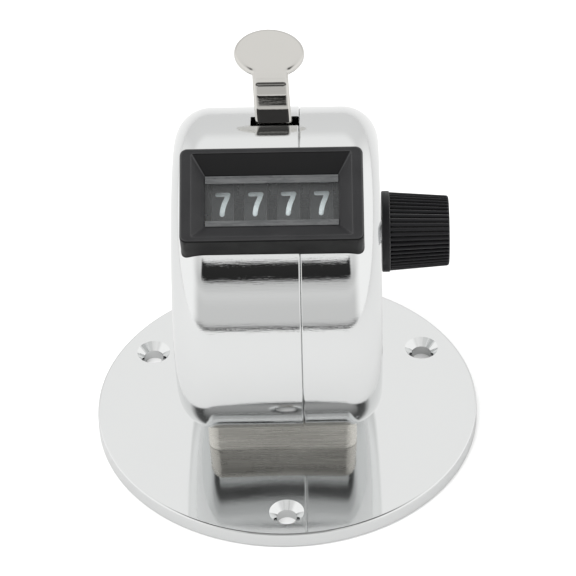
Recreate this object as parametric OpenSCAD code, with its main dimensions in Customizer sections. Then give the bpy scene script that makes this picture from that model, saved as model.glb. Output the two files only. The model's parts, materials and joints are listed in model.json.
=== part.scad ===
// Base-mounted four-digit hand counter: a drum case on a round screw-down plate.
// Origin: centre of the base plate's underside. +Z up, the window faces -Y,
// and the reset knob is on +X. All sizes in millimetres.

/* [Base] */
// Diameter of the round base plate
plate_d = 54; // [50:1:60]
// Thickness of the base plate
plate_t = 2.4; // [2:0.1:3]
// Pitch circle of the three fixing holes
fixing_pcd = 45; // [44:0.5:46]
// Diameter of each fixing hole
fixing_hole_d = 2.8; // [2.5:0.1:3.2]
// Diameter of each fixing hole's countersink at the top face
fixing_sink_d = 4.8; // [4.5:0.1:5.2]
// Width of the pedestal block, left to right
pedestal_w = 20.8; // [20:0.1:22]
// Depth of the pedestal block, front to back
pedestal_depth = 20.0; // [19:0.1:21]
// Radius of the pedestal's upright corners
pedestal_corner_r = 1.8; // [1:0.1:3]

/* [Case] */
// Outer diameter of the drum-shaped case
case_d = 44; // [43.6:0.1:44.4]
// Width of the case, side to side
case_w = 27.8; // [27.6:0.1:28.2]
// Where the middle of the case lies along X
case_x = -0.55; // [-0.6:0.05:-0.5]
// Gap between the plate and the lowest line of the case
case_lift = 3.0; // [2.8:0.1:3.4]
// Radius of the rounded edge between the drum and its sides
case_edge_r = 5.0; // [4.8:0.1:5.2]
// Sheet thickness of the two shells
case_t = 0.8; // [0.7:0.05:0.9]
// Where the two shells meet along X
seam_x = 2.65; // [2.6:0.05:2.7]

/* [Window] */
// Angle of the window's normal above the horizontal
window_angle = 61.5; // [61:0.5:62]
// Width of the window surround
surround_w = 23.9; // [23.7:0.1:24.1]
// Height of the window surround
surround_h = 13.25; // [13.1:0.05:13.4]
// Distance from the drum's axis to the front of the surround
surround_front = 25.4; // [25.2:0.1:25.6]
// Width of the clear opening at the foot of the bevels
opening_w = 17.5; // [17.3:0.1:17.7]
// Height of the clear opening at the foot of the bevels
opening_h = 7.25; // [7.1:0.05:7.4]

/* [Counter] */
// Radius of a number wheel's rim
wheel_r = 8.7; // [8.5:0.05:8.8]
// Spacing from one number wheel to the next
wheel_pitch = 4.35; // [4.35:0.01:4.4]
// Width of a number wheel's rim
rim_w = 3.0; // [2.8:0.05:3]
// Distance from the drum's axis to the wheel shaft
shaft_offset = 10.5; // [10.4:0.05:10.5]
// Angle above the horizontal at which the shaft lies, seen from the drum's axis
shaft_angle = 65; // [64.5:0.5:65.5]
// Radius of the wheel shaft
shaft_r = 1.5; // [1.4:0.05:1.5]
// Tip radius of the ten-tooth ratchets
ratchet_tip_r = 5.2; // [5.1:0.05:5.2]
// Root radius of the ratchets' nine ordinary notches
ratchet_root_r = 4.5; // [4.3:0.05:4.5]
// Root radius of the deep notch that lets the carry through
ratchet_deep_r = 3.8; // [3.6:0.05:3.9]

/* [Lever] */
// Turn of the thumb lever from rest to its stop, in degrees
lever_stroke = 16; // [14:1:16]
// Diameter of the round thumb pad
pad_d = 9.5; // [9.2:0.1:9.6]
// Width of the lever's neck
neck_w = 4.85; // [4.5:0.05:4.9]
// Thickness of the lever's strip
strip_t = 0.9; // [0.8:0.05:0.9]
// Largest diameter of the reset knob
knob_d = 10.9; // [10.6:0.1:11.2]
// Length of the reset knob
knob_len = 9.0; // [8.6:0.1:9.4]

/* [Hidden] */

round_fn = 96;         // smoothness of round surfaces
eps = 0.01;            // overlap that keeps a cut from leaving a skin
running = 0.03;        // radial clearance of everything that turns

// Main places in the side view, as [y, z].
axis_z = plate_t + case_lift + case_d / 2;
case_r = case_d / 2;
right_r = case_r - 0.1;             // the right shell is drawn a touch smaller
function polar(r, angle) = [r * cos(angle), r * sin(angle)];
shaft_at = [0, axis_z] + polar(shaft_offset, 180 - shaft_angle);
lever_at = [3.0, axis_z + 18.2];

// The rocker's arm is as long as one ratchet pitch needs for the lever's stroke.
drive_r = (ratchet_tip_r + ratchet_root_r) / 2;
arm_len = 36 * drive_r / lever_stroke;
arm_angle = -58;
pawl_at = lever_at + polar(arm_len, arm_angle);
pawl_start = -52;                   // where the pawl meets the ratchet, from +Y

pawl_tip_gap = 0.12;                // keeps the fingers off the teeth
pawl_tip = shaft_at + polar(ratchet_tip_r + pawl_tip_gap, pawl_start);
pawl_heading = atan2(pawl_tip[1] - pawl_at[1], pawl_tip[0] - pawl_at[0]);
// Along the rocker's arm: a from the lever pin, b square to it, towards the back.
function on_arm(a, b) = lever_at + polar(a, arm_angle) + polar(b, arm_angle + 90);
// Along the pawl: a from its pin to its tip, b square to that, downwards.
function on_pawl(a, b) = pawl_at + polar(a, pawl_heading) + polar(b, pawl_heading + 90);

// Places along X.
case_left_x = case_x - case_w / 2;
case_right_x = case_x + case_w / 2;
window_x = -0.9;
wheels_x = -0.95;
lever_x = -0.9;
plate_sheet = 0.8;                  // thickness of the inner side plates
frame_left_x = -11.4;
frame_right_x = 9.4;
frame_r = 20.1;                     // outer radius of the side plates
outer_right = frame_right_x + plate_sheet;
knob_x = case_right_x + 0.15;
function wheel_left(i) = wheels_x + (i - 1.5) * wheel_pitch - rim_w / 2;
UNITS = 3;
TENS = 2;
HUNDREDS = 1;
THOUSANDS = 0;

// Fasteners.
screw_r = 1.5;
screw_head_r = 3.0;
screw_head_h = 1.7;
screw_gap = 6.4;                    // pedestal screws, each side of the case's middle
screw_len = 9.4;
foot_top = 11.6;
foot_screw_r = 1.0;
foot_screw_y = 5.0;
foot_screw_z = 9.6;
foot_screw_deep = 2.8;              // how far they go into the foot

// The band inside the left shell, at the seam.
band_r_in = case_r - 1.4;
band_from = seam_x - 2.0;
band_to = seam_x + 1.4;

// The surround, and the lens held in a rebate behind its bevels.
surround_foot = 18.7;               // from the drum's axis
lens_w = opening_w + 1.2;
lens_h = opening_h + 1.2;
lens_front = 23.3;                  // from the drum's axis
lens_back = 22.3;
lens_corner_r = 0.3;
sharp_r = 0.2;                      // corner radius of the clear opening

// The tie bars and the detent bar, which hold the side plates together.
tie_spots = [[-11.5, 17.4], [11.5, 17.4], [15.6, 30.5]];
tie_r = 1.6;
bar_end_r = 1.0;                    // the tie bars' spigots in the side plates
detent_end_r = 0.9;                 // the detent bar's spigots
bar_end_out = 0.3;                  // how far all of them stand out of the plates
detent_at = [-1.6, 24.6];
bar_half = 1.3;
comb_t = 0.25;                      // sheet thickness of the detent comb
comb_hole_r = 0.65;
comb_screw_r = 0.6;

// The shaft's bushes and retaining clip.
bush_r = 2.2;
bush_flange = 0.3;
bush_flange_r = 3.0;
spacer_r = 2.6;
clip_t = 0.4;
clip_groove = 0.35;                 // depth of the groove that the clip sits in
clip_x = frame_left_x - bush_flange - clip_t;
clip_slit_angle = -60;              // where each wheel's reset clip reaches in
hub_len = wheel_pitch - 0.1;        // a wheel's length, its hub's full width

// The reset knob.
knob_flange_w = 1.05;
knob_body_r = knob_d / 2 - 0.17;
knob_tip_r = knob_d / 2 - 0.72;
knob_socket = knob_len - 2;         // how deep the shaft goes in

// The rocker: two arms and a crossbar between them.
bar_b = 1.2;                        // inner face of the crossbar, off the pins' line
bar_t = 0.8;
bar_from = 1.4;                     // the crossbar's span along the arms
bar_to = 6.6;
arm_left_x = -9.9;
arm_right_x = 8.3;
arm_t = 0.8;
pin_r = 1.0;                        // lever pin
pin_groove_r = 0.7;
pin_out = 0.6;                      // how far the pin stands out of the side plates
rivet_r = 0.7;
rivet_spread = 1.3;                 // rivets, each side of the lever's middle
rivet_along = 4.0;                  // rivets, from the lever pin along the arm

// The pawl.
pawl_pin_r = 0.8;
pawl_barrel_r = 1.5;
pawl_over = 1.4;                    // its top side, in from the line to its tip
pawl_under = 0.6;                   // its underside, likewise

// The springs.
touch_gap = 0.02;
spring_wire_r = 0.22;
spring_coil_r = 1.36;
spring_x = 3.5;
spring_pitch = 0.5;
spring_lean = -48.8;                // heading of the leg that bears on the tie bar

chrome = [0.84, 0.85, 0.86];
nickel = [0.72, 0.70, 0.66];
steel = [0.62, 0.63, 0.65];
brass = [0.78, 0.63, 0.32];
black = [0.10, 0.10, 0.11];

// ---------------------------------------------------------------- helpers

// Puts children made along +Z onto the line through [y, z] along X, so that their
// own X and Y become the side view's Y and Z.
module on_axis(at, x = 0) {
    translate([x, at[0], at[1]]) rotate([90, 0, 90]) children();
}

// A rod or disc along X, from x0 to x1.
module rod(at, r, x0, x1) {
    on_axis(at, x0) cylinder(r = r, h = x1 - x0, $fn = round_fn);
}

// A ring along X, from x0 to x1.
module ring(at, r_in, r_out, x0, x1) {
    difference() {
        rod(at, r_out, x0, x1);
        rod(at, r_in, x0 - 1, x1 + 1);
    }
}

// A side-view outline, drawn as (y, z), given thickness along X from x0 to x1.
module slab(x0, x1) {
    translate([x0, 0, 0]) rotate([90, 0, 90]) linear_extrude(x1 - x0) children();
}

// Local frame of the window: X stays, Y runs up the window, Z is its normal.
module at_window() {
    translate([window_x, 0, axis_z]) rotate([90 - window_angle, 0, 0]) children();
}

module rounded_rect(w, h, r) {
    square([w - 2 * r, h], center = true);
    square([w, h - 2 * r], center = true);
    for (sx = [-1, 1], sy = [-1, 1])
        translate([sx * (w / 2 - r), sy * (h / 2 - r)]) circle(r = r, $fn = 48);
}

// An upright block with the window's tilt: w by h, from u0 to u1 along the normal.
module window_block(w, h, u0, u1, r = 0.9) {
    at_window() translate([0, 0, u0]) linear_extrude(u1 - u0) rounded_rect(w, h, r);
}

// A bent strip seen from the side. Each leg is [length, bend after it, bend radius],
// and the heading is in degrees from +Y, turning anticlockwise.
function leg_end(p, heading, leg) = p + polar(leg[0], heading);
function bend_points(p, heading, leg) =
    let (side = sign(leg[1]), centre = p + polar(leg[2], heading + 90 * side))
    let (steps = max(1, ceil(abs(leg[1]) / 8)))
    [for (k = [1:steps])
        let (turned = leg[1] * k / steps)
        [centre + polar(leg[2], heading + turned - 90 * side), heading + turned]];
function strip_points(legs, p, heading, i = 0) =
    i == len(legs) ? [] :
    let (corner = leg_end(p, heading, legs[i]))
    let (bend = legs[i][1] == 0 ? [] : bend_points(corner, heading, legs[i]))
    let (last = len(bend) == 0 ? [corner, heading] : bend[len(bend) - 1])
    concat([[corner, heading]], bend, strip_points(legs, last[0], last[1], i + 1));
module strip_outline(legs, start, heading, thickness) {
    path = concat([[start, heading]], strip_points(legs, start, heading));
    half = thickness / 2;
    polygon(concat(
        [for (q = path) q[0] + polar(half, q[1] + 90)],
        [for (i = [len(path) - 1:-1:0]) path[i][0] + polar(half, path[i][1] - 90)]
    ));
}

// A round wire swept along a list of 3D points, as a closed solid.
WIRE_SIDES = 8;
function unit(v) = v / norm(v);
function tangent(path, i) =
    unit(path[min(i + 1, len(path) - 1)] - path[max(i - 1, 0)]);
module wire(path, r) {
    // The wire's section is framed by the X axis, or by Y where the wire runs along X.
    function side(t) = unit(cross(t, abs(t[0]) > 0.9 ? [0, 1, 0] : [1, 0, 0]));
    points = [
        for (i = [0:len(path) - 1])
            let (t = tangent(path, i), a = side(t), b = cross(t, a))
            for (k = [0:WIRE_SIDES - 1])
                path[i] + r * (a * cos(360 * k / WIRE_SIDES) + b * sin(360 * k / WIRE_SIDES))
    ];
    last = (len(path) - 1) * WIRE_SIDES;
    polyhedron(points, concat(
        [[for (k = [0:WIRE_SIDES - 1]) k]],
        [for (i = [0:len(path) - 2], k = [0:WIRE_SIDES - 1])
            let (a = i * WIRE_SIDES + k, b = i * WIRE_SIDES + (k + 1) % WIRE_SIDES)
            [a, a + WIRE_SIDES, b + WIRE_SIDES, b]],
        [[for (k = [WIRE_SIDES - 1:-1:0]) last + k]]
    ), convexity = 10);
}

// The angle, round a circle, where a straight leg from p runs onto it.
function touch_angle(centre, r, p, side) =
    atan2(p[1] - centre[1], p[0] - centre[0]) + side * acos(r / norm(p - centre));

// Points of a coil wound clockwise round the X axis line through at, moving along X
// by pitch each turn. It has full turns plus what brings it from angle start to end.
COIL_STEP = 18;
function coil_sweep(start, end) = 3 * 360 - (end - start);
function coil(at, r, x0, pitch, start, end) =
    let (sweep = coil_sweep(start, end), steps = round(sweep / COIL_STEP))
    [for (k = [0:steps])
        let (a = start - sweep * k / steps)
        [x0 + pitch * sweep * k / steps / 360, at[0] + r * cos(a), at[1] + r * sin(a)]];

// An open retaining ring, as snapped into a shaft's groove.
module retaining_ring(at, r_in, r_out, x0, x1, mouth_angle) {
    difference() {
        ring(at, r_in, r_out, x0, x1);
        on_axis(at, x0 - 1) rotate([0, 0, mouth_angle])
            translate([0, -r_in * 0.8, 0]) cube([r_out * 2, r_in * 1.6, x1 - x0 + 2]);
    }
}

// ------------------------------------------------------------ base and case

module base_plate() {
    edge = 0.3;
    color(chrome) difference() {
        rotate_extrude($fn = round_fn) difference() {
            union() {
                square([plate_d / 2 - edge, plate_t]);
                translate([0, edge * 0.7]) square([plate_d / 2, plate_t - edge * 1.7]);
                translate([plate_d / 2 - edge, plate_t - edge]) circle(r = edge, $fn = 32);
            }
            translate([plate_d / 2, 0]) rotate([0, 0, 45])
                square(edge, center = true);
        }
        for (angle = [30, 150, 270]) fixing_hole(angle);
        pedestal_screw_holes();
        for (side = [-1, 1])
            translate([case_x + side * screw_gap, 0, -eps])
                cylinder(r1 = screw_head_r + 0.1, r2 = screw_r, h = screw_head_h, $fn = round_fn);
    }
}

module fixing_hole(angle) {
    cone_h = (fixing_sink_d - fixing_hole_d) / 2;
    rotate([0, 0, angle]) translate([fixing_pcd / 2, 0, 0]) {
        translate([0, 0, -1]) cylinder(d = fixing_hole_d, h = plate_t + 2, $fn = round_fn);
        translate([0, 0, plate_t - cone_h])
            cylinder(d1 = fixing_hole_d, d2 = fixing_sink_d + 2 * eps, h = cone_h + eps, $fn = round_fn);
    }
}

module pedestal_screw_holes() {
    for (side = [-1, 1])
        translate([case_x + side * screw_gap, 0, -1])
            cylinder(r = screw_r + 0.15, h = screw_len, $fn = round_fn);
}

module pedestal() {
    block_top = axis_z - 12;        // well inside the drum, whose outline is then cut away
    color(nickel) difference() {
        translate([case_x, 0, plate_t]) linear_extrude(block_top - plate_t)
            rounded_rect(pedestal_w, pedestal_depth, pedestal_corner_r);
        rod([0, axis_z], case_r, case_left_x - 1, case_right_x + 1);
        pedestal_screw_holes();
    }
}

module pedestal_screws() {
    slot_w = 0.8;
    slot_deep = 0.8;
    color(steel) for (side = [-1, 1])
        translate([case_x + side * screw_gap, 0, 0]) difference() {
            union() {
                cylinder(r1 = screw_head_r, r2 = screw_r - 0.1, h = screw_head_h, $fn = round_fn);
                cylinder(r = screw_r, h = screw_len, $fn = round_fn);
            }
            translate([-slot_w / 2, -screw_head_r - 1, slot_deep - 2])
                cube([slot_w, 2 * screw_head_r + 2, 2]);
        }
}

// Half section of a shell, as (radius, distance in from its side face).
module cup_section(r, corner, depth) {
    square([r - corner, depth]);
    translate([0, corner]) square([r, depth - corner]);
    translate([r - corner, corner]) circle(r = corner, $fn = round_fn);
}

// A cup revolved about the drum's axis. Its closed side is at x = 0.
module cup(r, depth) {
    rim = 0.25;
    rotate_extrude($fn = 180) difference() {
        cup_section(r, case_edge_r, depth);
        translate([0, case_t]) cup_section(r - case_t, case_edge_r - case_t, depth);
        translate([r, depth]) rotate([0, 0, 45]) square(rim, center = true);
    }
}

// The band inside the left shell that the right shell slides over.
module seam_band() {
    slide = 0.08;
    bite = 0.1;                     // how far the band runs into the shell it is fixed to
    ring([0, axis_z], band_r_in, right_r - case_t - slide, band_from, band_to);
    ring([0, axis_z], band_r_in, case_r - case_t + bite, band_from, seam_x - 0.05);
}

// The lever's slot, cut as far as the seam.
module lever_slot() {
    slot_from = 98.5;
    slot_to = 106.3;
    slot_left = lever_x - 2.94;
    deep = 3;
    middle = 180 - (slot_from + slot_to) / 2;
    width = case_r * PI / 180 * (slot_to - slot_from);
    translate([slot_left, 0, axis_z]) rotate([middle, 0, 0])
        translate([0, case_r - deep, -width / 2]) cube([band_to - slot_left + 1, 2 * deep, width]);
}

module case_openings() {
    loose = 0.1;
    window_block(surround_w + loose, surround_h + loose, 12, 30);
    pedestal_screw_holes();
}

module case_left() {
    color(chrome) difference() {
        union() {
            on_axis([0, axis_z], case_left_x) cup(case_r, seam_x - case_left_x - 0.02);
            seam_band();
        }
        case_openings();
        lever_slot();
    }
}

module case_right() {
    color(chrome) difference() {
        on_axis([0, axis_z], case_right_x) mirror([0, 0, 1])
            cup(right_r, case_right_x - seam_x - 0.02);
        case_openings();
        rod(shaft_at, shaft_r + 0.6, case_right_x - 2, case_right_x + 1);
    }
}

// ----------------------------------------------------------------- window

module window_surround() {
    side_rim = 1.5;
    end_rim = 0.8;
    bevel_depth = 2.0;
    wall = 0.8;
    rim_front = surround_front + eps;
    bevel_foot = surround_front - bevel_depth;
    color(black) difference() {
        union() {
            window_block(surround_w, surround_h, surround_foot, surround_front);
            retaining_flange();
        }
        hull() {
            window_block(surround_w - 2 * side_rim, surround_h - 2 * end_rim,
                         rim_front, rim_front + 0.1, sharp_r);
            window_block(opening_w, opening_h, bevel_foot, bevel_foot + eps, sharp_r);
        }
        window_block(opening_w, opening_h, surround_foot - 1, bevel_foot + 2 * eps, sharp_r);
        window_block(lens_w + 0.1, lens_h + 0.1, lens_back, lens_front, lens_corner_r);
        window_block(surround_w - 2 * wall, surround_h - 2 * wall, surround_foot - 1, lens_back + eps, 0.4);
    }
}

// The curved lips, above and below, that hold the surround in the shells.
module retaining_flange() {
    flange_r = right_r - case_t - 0.05;
    flange_t = 0.8;
    reach = 1;                      // beyond the surround's ends
    left = -7.8;
    w = 10.6;
    intersection() {
        ring([0, axis_z], flange_r - flange_t, flange_r, -30, 30);
        at_window() translate([left, -surround_h / 2 - reach, 10]) cube([w, surround_h + 2 * reach, 12]);
        rod([0, axis_z], flange_r, -30, band_from - 0.1);
    }
}

// The clear pane, with a raised rail along its top and bottom.
module window_lens() {
    rail_h = 0.85;
    rail_out = 0.3;
    inset = 0.05;                   // keeps the rails off the opening's walls
    color([0.8, 0.85, 0.9, 0.4]) {
        window_block(lens_w, lens_h, lens_back, lens_front, lens_corner_r);
        for (side = [-1, 1])
            at_window()
                translate([0, side * (opening_h / 2 - inset - rail_h / 2), lens_front + (rail_out - eps) / 2])
                    cube([opening_w - 2 * inset, rail_h, rail_out + eps], center = true);
    }
}

// ------------------------------------------------------------------ frame

// A side plate: a disc cut straight at its front, back, top and bottom, with room for the window.
module side_plate(x0) {
    front = -14.5;
    back = 17.5;
    bottom = 8;
    top = 48.2;
    window_room = 0.4;
    difference() {
        slab(x0, x0 + plate_sheet) intersection() {
            translate([0, axis_z]) circle(r = frame_r, $fn = round_fn);
            translate([front, bottom]) square([back - front, top - bottom]);
        }
        window_block(60, surround_h + 2 * window_room, surround_foot - window_room, 30);
        plate_hole(shaft_at, bush_r, x0);
        plate_hole(lever_at, pin_r, x0);
        for (at = tie_spots) plate_hole(at, bar_end_r, x0);
        for (y = [-foot_screw_y, foot_screw_y]) plate_hole([y, foot_screw_z], foot_screw_r + 0.05, x0);
        plate_hole(detent_at, detent_end_r, x0);
    }
}

module plate_hole(at, r, x0) {
    rod(at, r, x0 - 1, x0 + plate_sheet + 1);
}

module frame_left() {
    color(steel) side_plate(frame_left_x);
}

module frame_right() {
    color(steel) side_plate(frame_right_x);
}

// The block that the side plates are screwed to. It sits on the inside of the drum, and
// both its ends are relieved where the drum begins to round over.
module frame_foot() {
    left = frame_left_x + plate_sheet;
    foot_r = right_r - case_t;
    depth = 14;
    bottom = 5;
    relief = 0.25;
    color(steel) difference() {
        intersection() {
            translate([left, -depth / 2, bottom]) cube([frame_right_x - left, depth, foot_top - bottom]);
            rod([0, axis_z], foot_r, -30, 30);
        }
        ring([0, axis_z], band_r_in - 0.1, 30, band_from - 0.1, band_to + 0.1);
        ring([0, axis_z], foot_r - relief, 30, left - 1, case_left_x + case_edge_r);
        ring([0, axis_z], foot_r - relief, 30, case_right_x - case_edge_r, frame_right_x + 1);
        for (side = [-1, 1])
            translate([case_x + side * screw_gap, 0, 0])
                cylinder(r = screw_r, h = screw_len, $fn = round_fn);
        for (y = [-foot_screw_y, foot_screw_y]) {
            rod([y, foot_screw_z], foot_screw_r, left - 1, left + foot_screw_deep + 0.2);
            rod([y, foot_screw_z], foot_screw_r, frame_right_x - foot_screw_deep - 0.2, frame_right_x + 1);
        }
    }
}

// One small cheese-head screw: its head outside x_face, its shank running inwards,
// which is 1 for towards +X and -1 for towards -X.
module small_screw(at, x_face, inwards, shank) {
    head_r = 1.6;
    head_h = 0.7;
    slot_w = 0.4;
    outer = x_face - inwards * head_h;
    inner = x_face + inwards * shank;
    difference() {
        union() {
            rod(at, head_r, min(x_face, outer), max(x_face, outer));
            rod(at, foot_screw_r, min(x_face, inner), max(x_face, inner));
        }
        translate([outer, at[0], at[1]]) cube([head_h, slot_w, 2 * head_r + 1], center = true);
    }
}

module foot_screws() {
    color(steel) for (y = [-foot_screw_y, foot_screw_y]) {
        small_screw([y, foot_screw_z], frame_left_x, 1, plate_sheet + foot_screw_deep);
        small_screw([y, foot_screw_z], outer_right, -1, plate_sheet + foot_screw_deep);
    }
}

module tie_bars() {
    left = frame_left_x + plate_sheet;
    color(steel) for (at = tie_spots) {
        rod(at, tie_r, left, frame_right_x);
        rod(at, bar_end_r, frame_left_x - bar_end_out, outer_right + bar_end_out);
    }
}

// ----------------------------------------------------------- wheel shaft

module wheel_shaft() {
    groove_angle = clip_slit_angle - 3 * 36;    // the wheels read 7, three short of zero
    groove_w = 0.7;
    groove_deep = 0.45;
    color(steel) difference() {
        rod(shaft_at, shaft_r, clip_x - 0.5, knob_x + knob_socket);
        ring(shaft_at, shaft_r - clip_groove, shaft_r + 1, clip_x - 0.02, clip_x + clip_t + 0.02);
        on_axis(shaft_at, wheel_left(THOUSANDS)) rotate([0, 0, groove_angle])
            translate([shaft_r - groove_deep, -groove_w / 2, 0])
                cube([groove_deep + 1, groove_w, wheel_pitch * 4]);
    }
}

module shaft_bushes() {
    bore = shaft_r + running;
    color(brass) {
        ring(shaft_at, bore, bush_r, frame_left_x, frame_left_x + plate_sheet);
        ring(shaft_at, bore, bush_flange_r, frame_left_x - bush_flange, frame_left_x);
        ring(shaft_at, bore, bush_r, frame_right_x, outer_right);
        ring(shaft_at, bore, bush_flange_r, outer_right, outer_right + bush_flange);
    }
}

module shaft_spacers() {
    gap = 0.05;
    hub_right = wheel_left(UNITS) + hub_len;
    color(brass) {
        ring(shaft_at, shaft_r, spacer_r, frame_left_x + plate_sheet + gap, wheel_left(THOUSANDS) - gap);
        ring(shaft_at, shaft_r, spacer_r, hub_right + gap, frame_right_x - gap);
    }
}

module shaft_clip() {
    clip_r = 2.7;
    mouth_angle = 35;
    color(steel)
        retaining_ring(shaft_at, shaft_r - clip_groove, clip_r, clip_x, clip_x + clip_t, mouth_angle);
}

// Half section of the knob, as (radius, distance out along the shaft).
module knob_section() {
    top_r = knob_d / 2;
    chamfer = 0.15;
    soft = 0.35;
    polygon([
        [0, 0], [top_r - chamfer, 0], [top_r, chamfer], [top_r, knob_flange_w],
        [knob_body_r, knob_flange_w], [knob_tip_r, knob_len - soft], [knob_tip_r - soft, knob_len],
        [0, knob_len]
    ]);
}

module reset_knob() {
    rib_count = 48;
    flute = 0.38;                   // side of each groove's square section
    taper = atan((knob_body_r - knob_tip_r) / knob_len);
    color(black) difference() {
        on_axis(shaft_at, knob_x) difference() {
            rotate_extrude($fn = round_fn) knob_section();
            for (i = [0:rib_count - 1])
                rotate([0, 0, i * 360 / rib_count]) translate([knob_body_r, 0, knob_flange_w])
                    rotate([0, -taper, 0])
                        linear_extrude(knob_len + 1) rotate([0, 0, 45]) square(flute, center = true);
        }
        rod(shaft_at, shaft_r, knob_x - 1, knob_x + knob_socket);
    }
}

// ---------------------------------------------------------- number wheels

// Ten saw teeth that a push from the pawl turns clockwise in the side view.
// The first notch is deep, and lets the next wheel's finger of the pawl drop in.
module ratchet_outline() {
    step = 36;
    floor_span = 0.18;              // share of a tooth that is flat at the notch's foot
    function notch_r(i) = i == 0 ? ratchet_deep_r : ratchet_root_r;
    polygon([for (i = [0:9])
        for (p = [polar(notch_r(i), i * step), polar(notch_r(i), (i + floor_span) * step),
                  polar(ratchet_tip_r, (i + 1) * step)]) p]);
}

module number_wheel(i) {
    x0 = wheel_left(i);
    rim_t = 1.1;
    web_from = 2.0;
    ratchet_w = 1.1;
    hub_r = 3.0;
    slit_w = 0.8;
    slit_len = 0.9;
    slit_x = 0.5;
    phase = pawl_start + 2;         // brings a tooth's driving face to the pawl
    difference() {
        union() {
            ring(shaft_at, wheel_r - rim_t, wheel_r, x0, x0 + rim_w);
            rod(shaft_at, wheel_r - rim_t / 2, x0 + web_from, x0 + rim_w);
            rod(shaft_at, hub_r, x0, x0 + hub_len);
            on_axis(shaft_at, x0 + rim_w - eps) rotate([0, 0, phase])
                linear_extrude(ratchet_w) ratchet_outline();
        }
        rod(shaft_at, shaft_r + running, x0 - 1, x0 + wheel_pitch + 1);
        on_axis(shaft_at, x0 + slit_x) rotate([0, 0, clip_slit_angle])
            translate([0, -slit_w / 2, 0]) cube([hub_r + 1, slit_w, slit_len]);
    }
}

module units_wheel() { color([0.18, 0.18, 0.19]) number_wheel(UNITS); }
module tens_wheel() { color([0.18, 0.18, 0.19]) number_wheel(TENS); }
module hundreds_wheel() { color([0.18, 0.18, 0.19]) number_wheel(HUNDREDS); }
module thousands_wheel() { color([0.18, 0.18, 0.19]) number_wheel(THOUSANDS); }

// The spring clip that picks its wheel up when the shaft is turned to zero:
// a wire round the hub, with a peg that reaches through the slit to the shaft.
module reset_clip(i) {
    wire_r = 0.3;
    coil_r = 3.34;
    coil_angle = 280;
    peg_from = shaft_r + 0.06;
    mid = wheel_left(i) + 0.95;
    on_axis(shaft_at, mid) rotate([0, 0, clip_slit_angle]) {
        rotate_extrude(angle = coil_angle, $fn = round_fn)
            translate([coil_r, 0]) circle(r = wire_r, $fn = 24);
        translate([peg_from, 0, 0]) rotate([0, 90, 0])
            cylinder(r = wire_r, h = coil_r - peg_from, $fn = 24);
    }
}

module units_clip() { color(steel) reset_clip(UNITS); }
module tens_clip() { color(steel) reset_clip(TENS); }
module hundreds_clip() { color(steel) reset_clip(HUNDREDS); }
module thousands_clip() { color(steel) reset_clip(THOUSANDS); }

// ---------------------------------------------------------- lever and pawl

// The strip, from its foot on the rocker, out through the slot, to the thumb pad.
strip_legs = [
    [7.2, -52, 1.2],
    [1.8, -10, 2],
    [1.2, -16, 0.8],
    [1.16, -35, 0.45],
    [0.6, 3, 0.8],
    [0.12, -5, 0.8],
    [0.94, -1.5, 1],
    [0.6, 0, 1]
];
strip_start = on_arm(6.0, bar_b + bar_t + strip_t / 2);
strip_heading = arm_angle + 180;
strip_path = strip_points(strip_legs, strip_start, strip_heading);
strip_end = strip_path[len(strip_path) - 1];

module thumb_lever() {
    pad_t = 1.0;
    lap = 1.2;                      // how far the strip runs in under the pad
    color(nickel) difference() {
        union() {
            slab(lever_x - neck_w / 2, lever_x + neck_w / 2)
                strip_outline(strip_legs, strip_start, strip_heading, strip_t);
            // The pad carries on in line with the strip's end, rising a little to the back.
            translate([lever_x, strip_end[0][0], strip_end[0][1]]) rotate([strip_end[1], 0, 0])
                translate([0, pad_d / 2 - lap, strip_t / 2 - pad_t]) rotate_extrude($fn = round_fn) {
                    square([pad_d / 2 - pad_t / 2, pad_t]);
                    translate([pad_d / 2 - pad_t / 2, pad_t / 2]) circle(r = pad_t / 2, $fn = 32);
                }
        }
        rivet_holes();
    }
}

module rivet_holes() {
    for (side = [-1, 1])
        rivet_line(side) cylinder(r = rivet_r, h = 4, center = true, $fn = 48);
}

// Puts children made along +Z on a rivet's line, at the crossbar's outer face.
module rivet_line(side) {
    at = on_arm(rivet_along, bar_b + bar_t);
    translate([lever_x + side * rivet_spread, at[0], at[1]]) rotate([arm_angle, 0, 0]) children();
}

module lever_rivets() {
    head = 0.35;
    head_r = rivet_r + 0.4;
    length = bar_t + strip_t;
    color(steel) for (side = [-1, 1])
        rivet_line(side) {
            translate([0, 0, -bar_t - head]) cylinder(r = rivet_r, h = length + 2 * head, $fn = 48);
            translate([0, 0, -bar_t - head]) cylinder(r = head_r, h = head, $fn = 48);
            translate([0, 0, strip_t]) cylinder(r = head_r, h = head, $fn = 48);
        }
}

// One arm of the rocker, from the lever pin to the pawl pin.
module arm_outline() {
    lever_boss = 2.0;
    pawl_boss = 1.7;
    taper_end = 7.2;                // where the arm's back edge leaves the crossbar
    difference() {
        union() {
            translate(lever_at) circle(r = lever_boss, $fn = 64);
            translate(pawl_at) circle(r = pawl_boss, $fn = 64);
            polygon([on_arm(0, -1.7), on_arm(arm_len, -1.2), on_arm(arm_len, 1.5),
                     on_arm(taper_end, bar_b + bar_t), on_arm(0, bar_b + bar_t)]);
        }
        translate(lever_at) circle(r = pin_r + running, $fn = 64);
        translate(pawl_at) circle(r = pawl_pin_r, $fn = 64);
    }
}

// The crossbar's section along the arms, made larger all round by extra.
module bar_outline(from, to, extra) {
    polygon([on_arm(from, bar_b - extra), on_arm(to, bar_b - extra),
             on_arm(to, bar_b + bar_t + extra), on_arm(from, bar_b + bar_t + extra)]);
}

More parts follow.
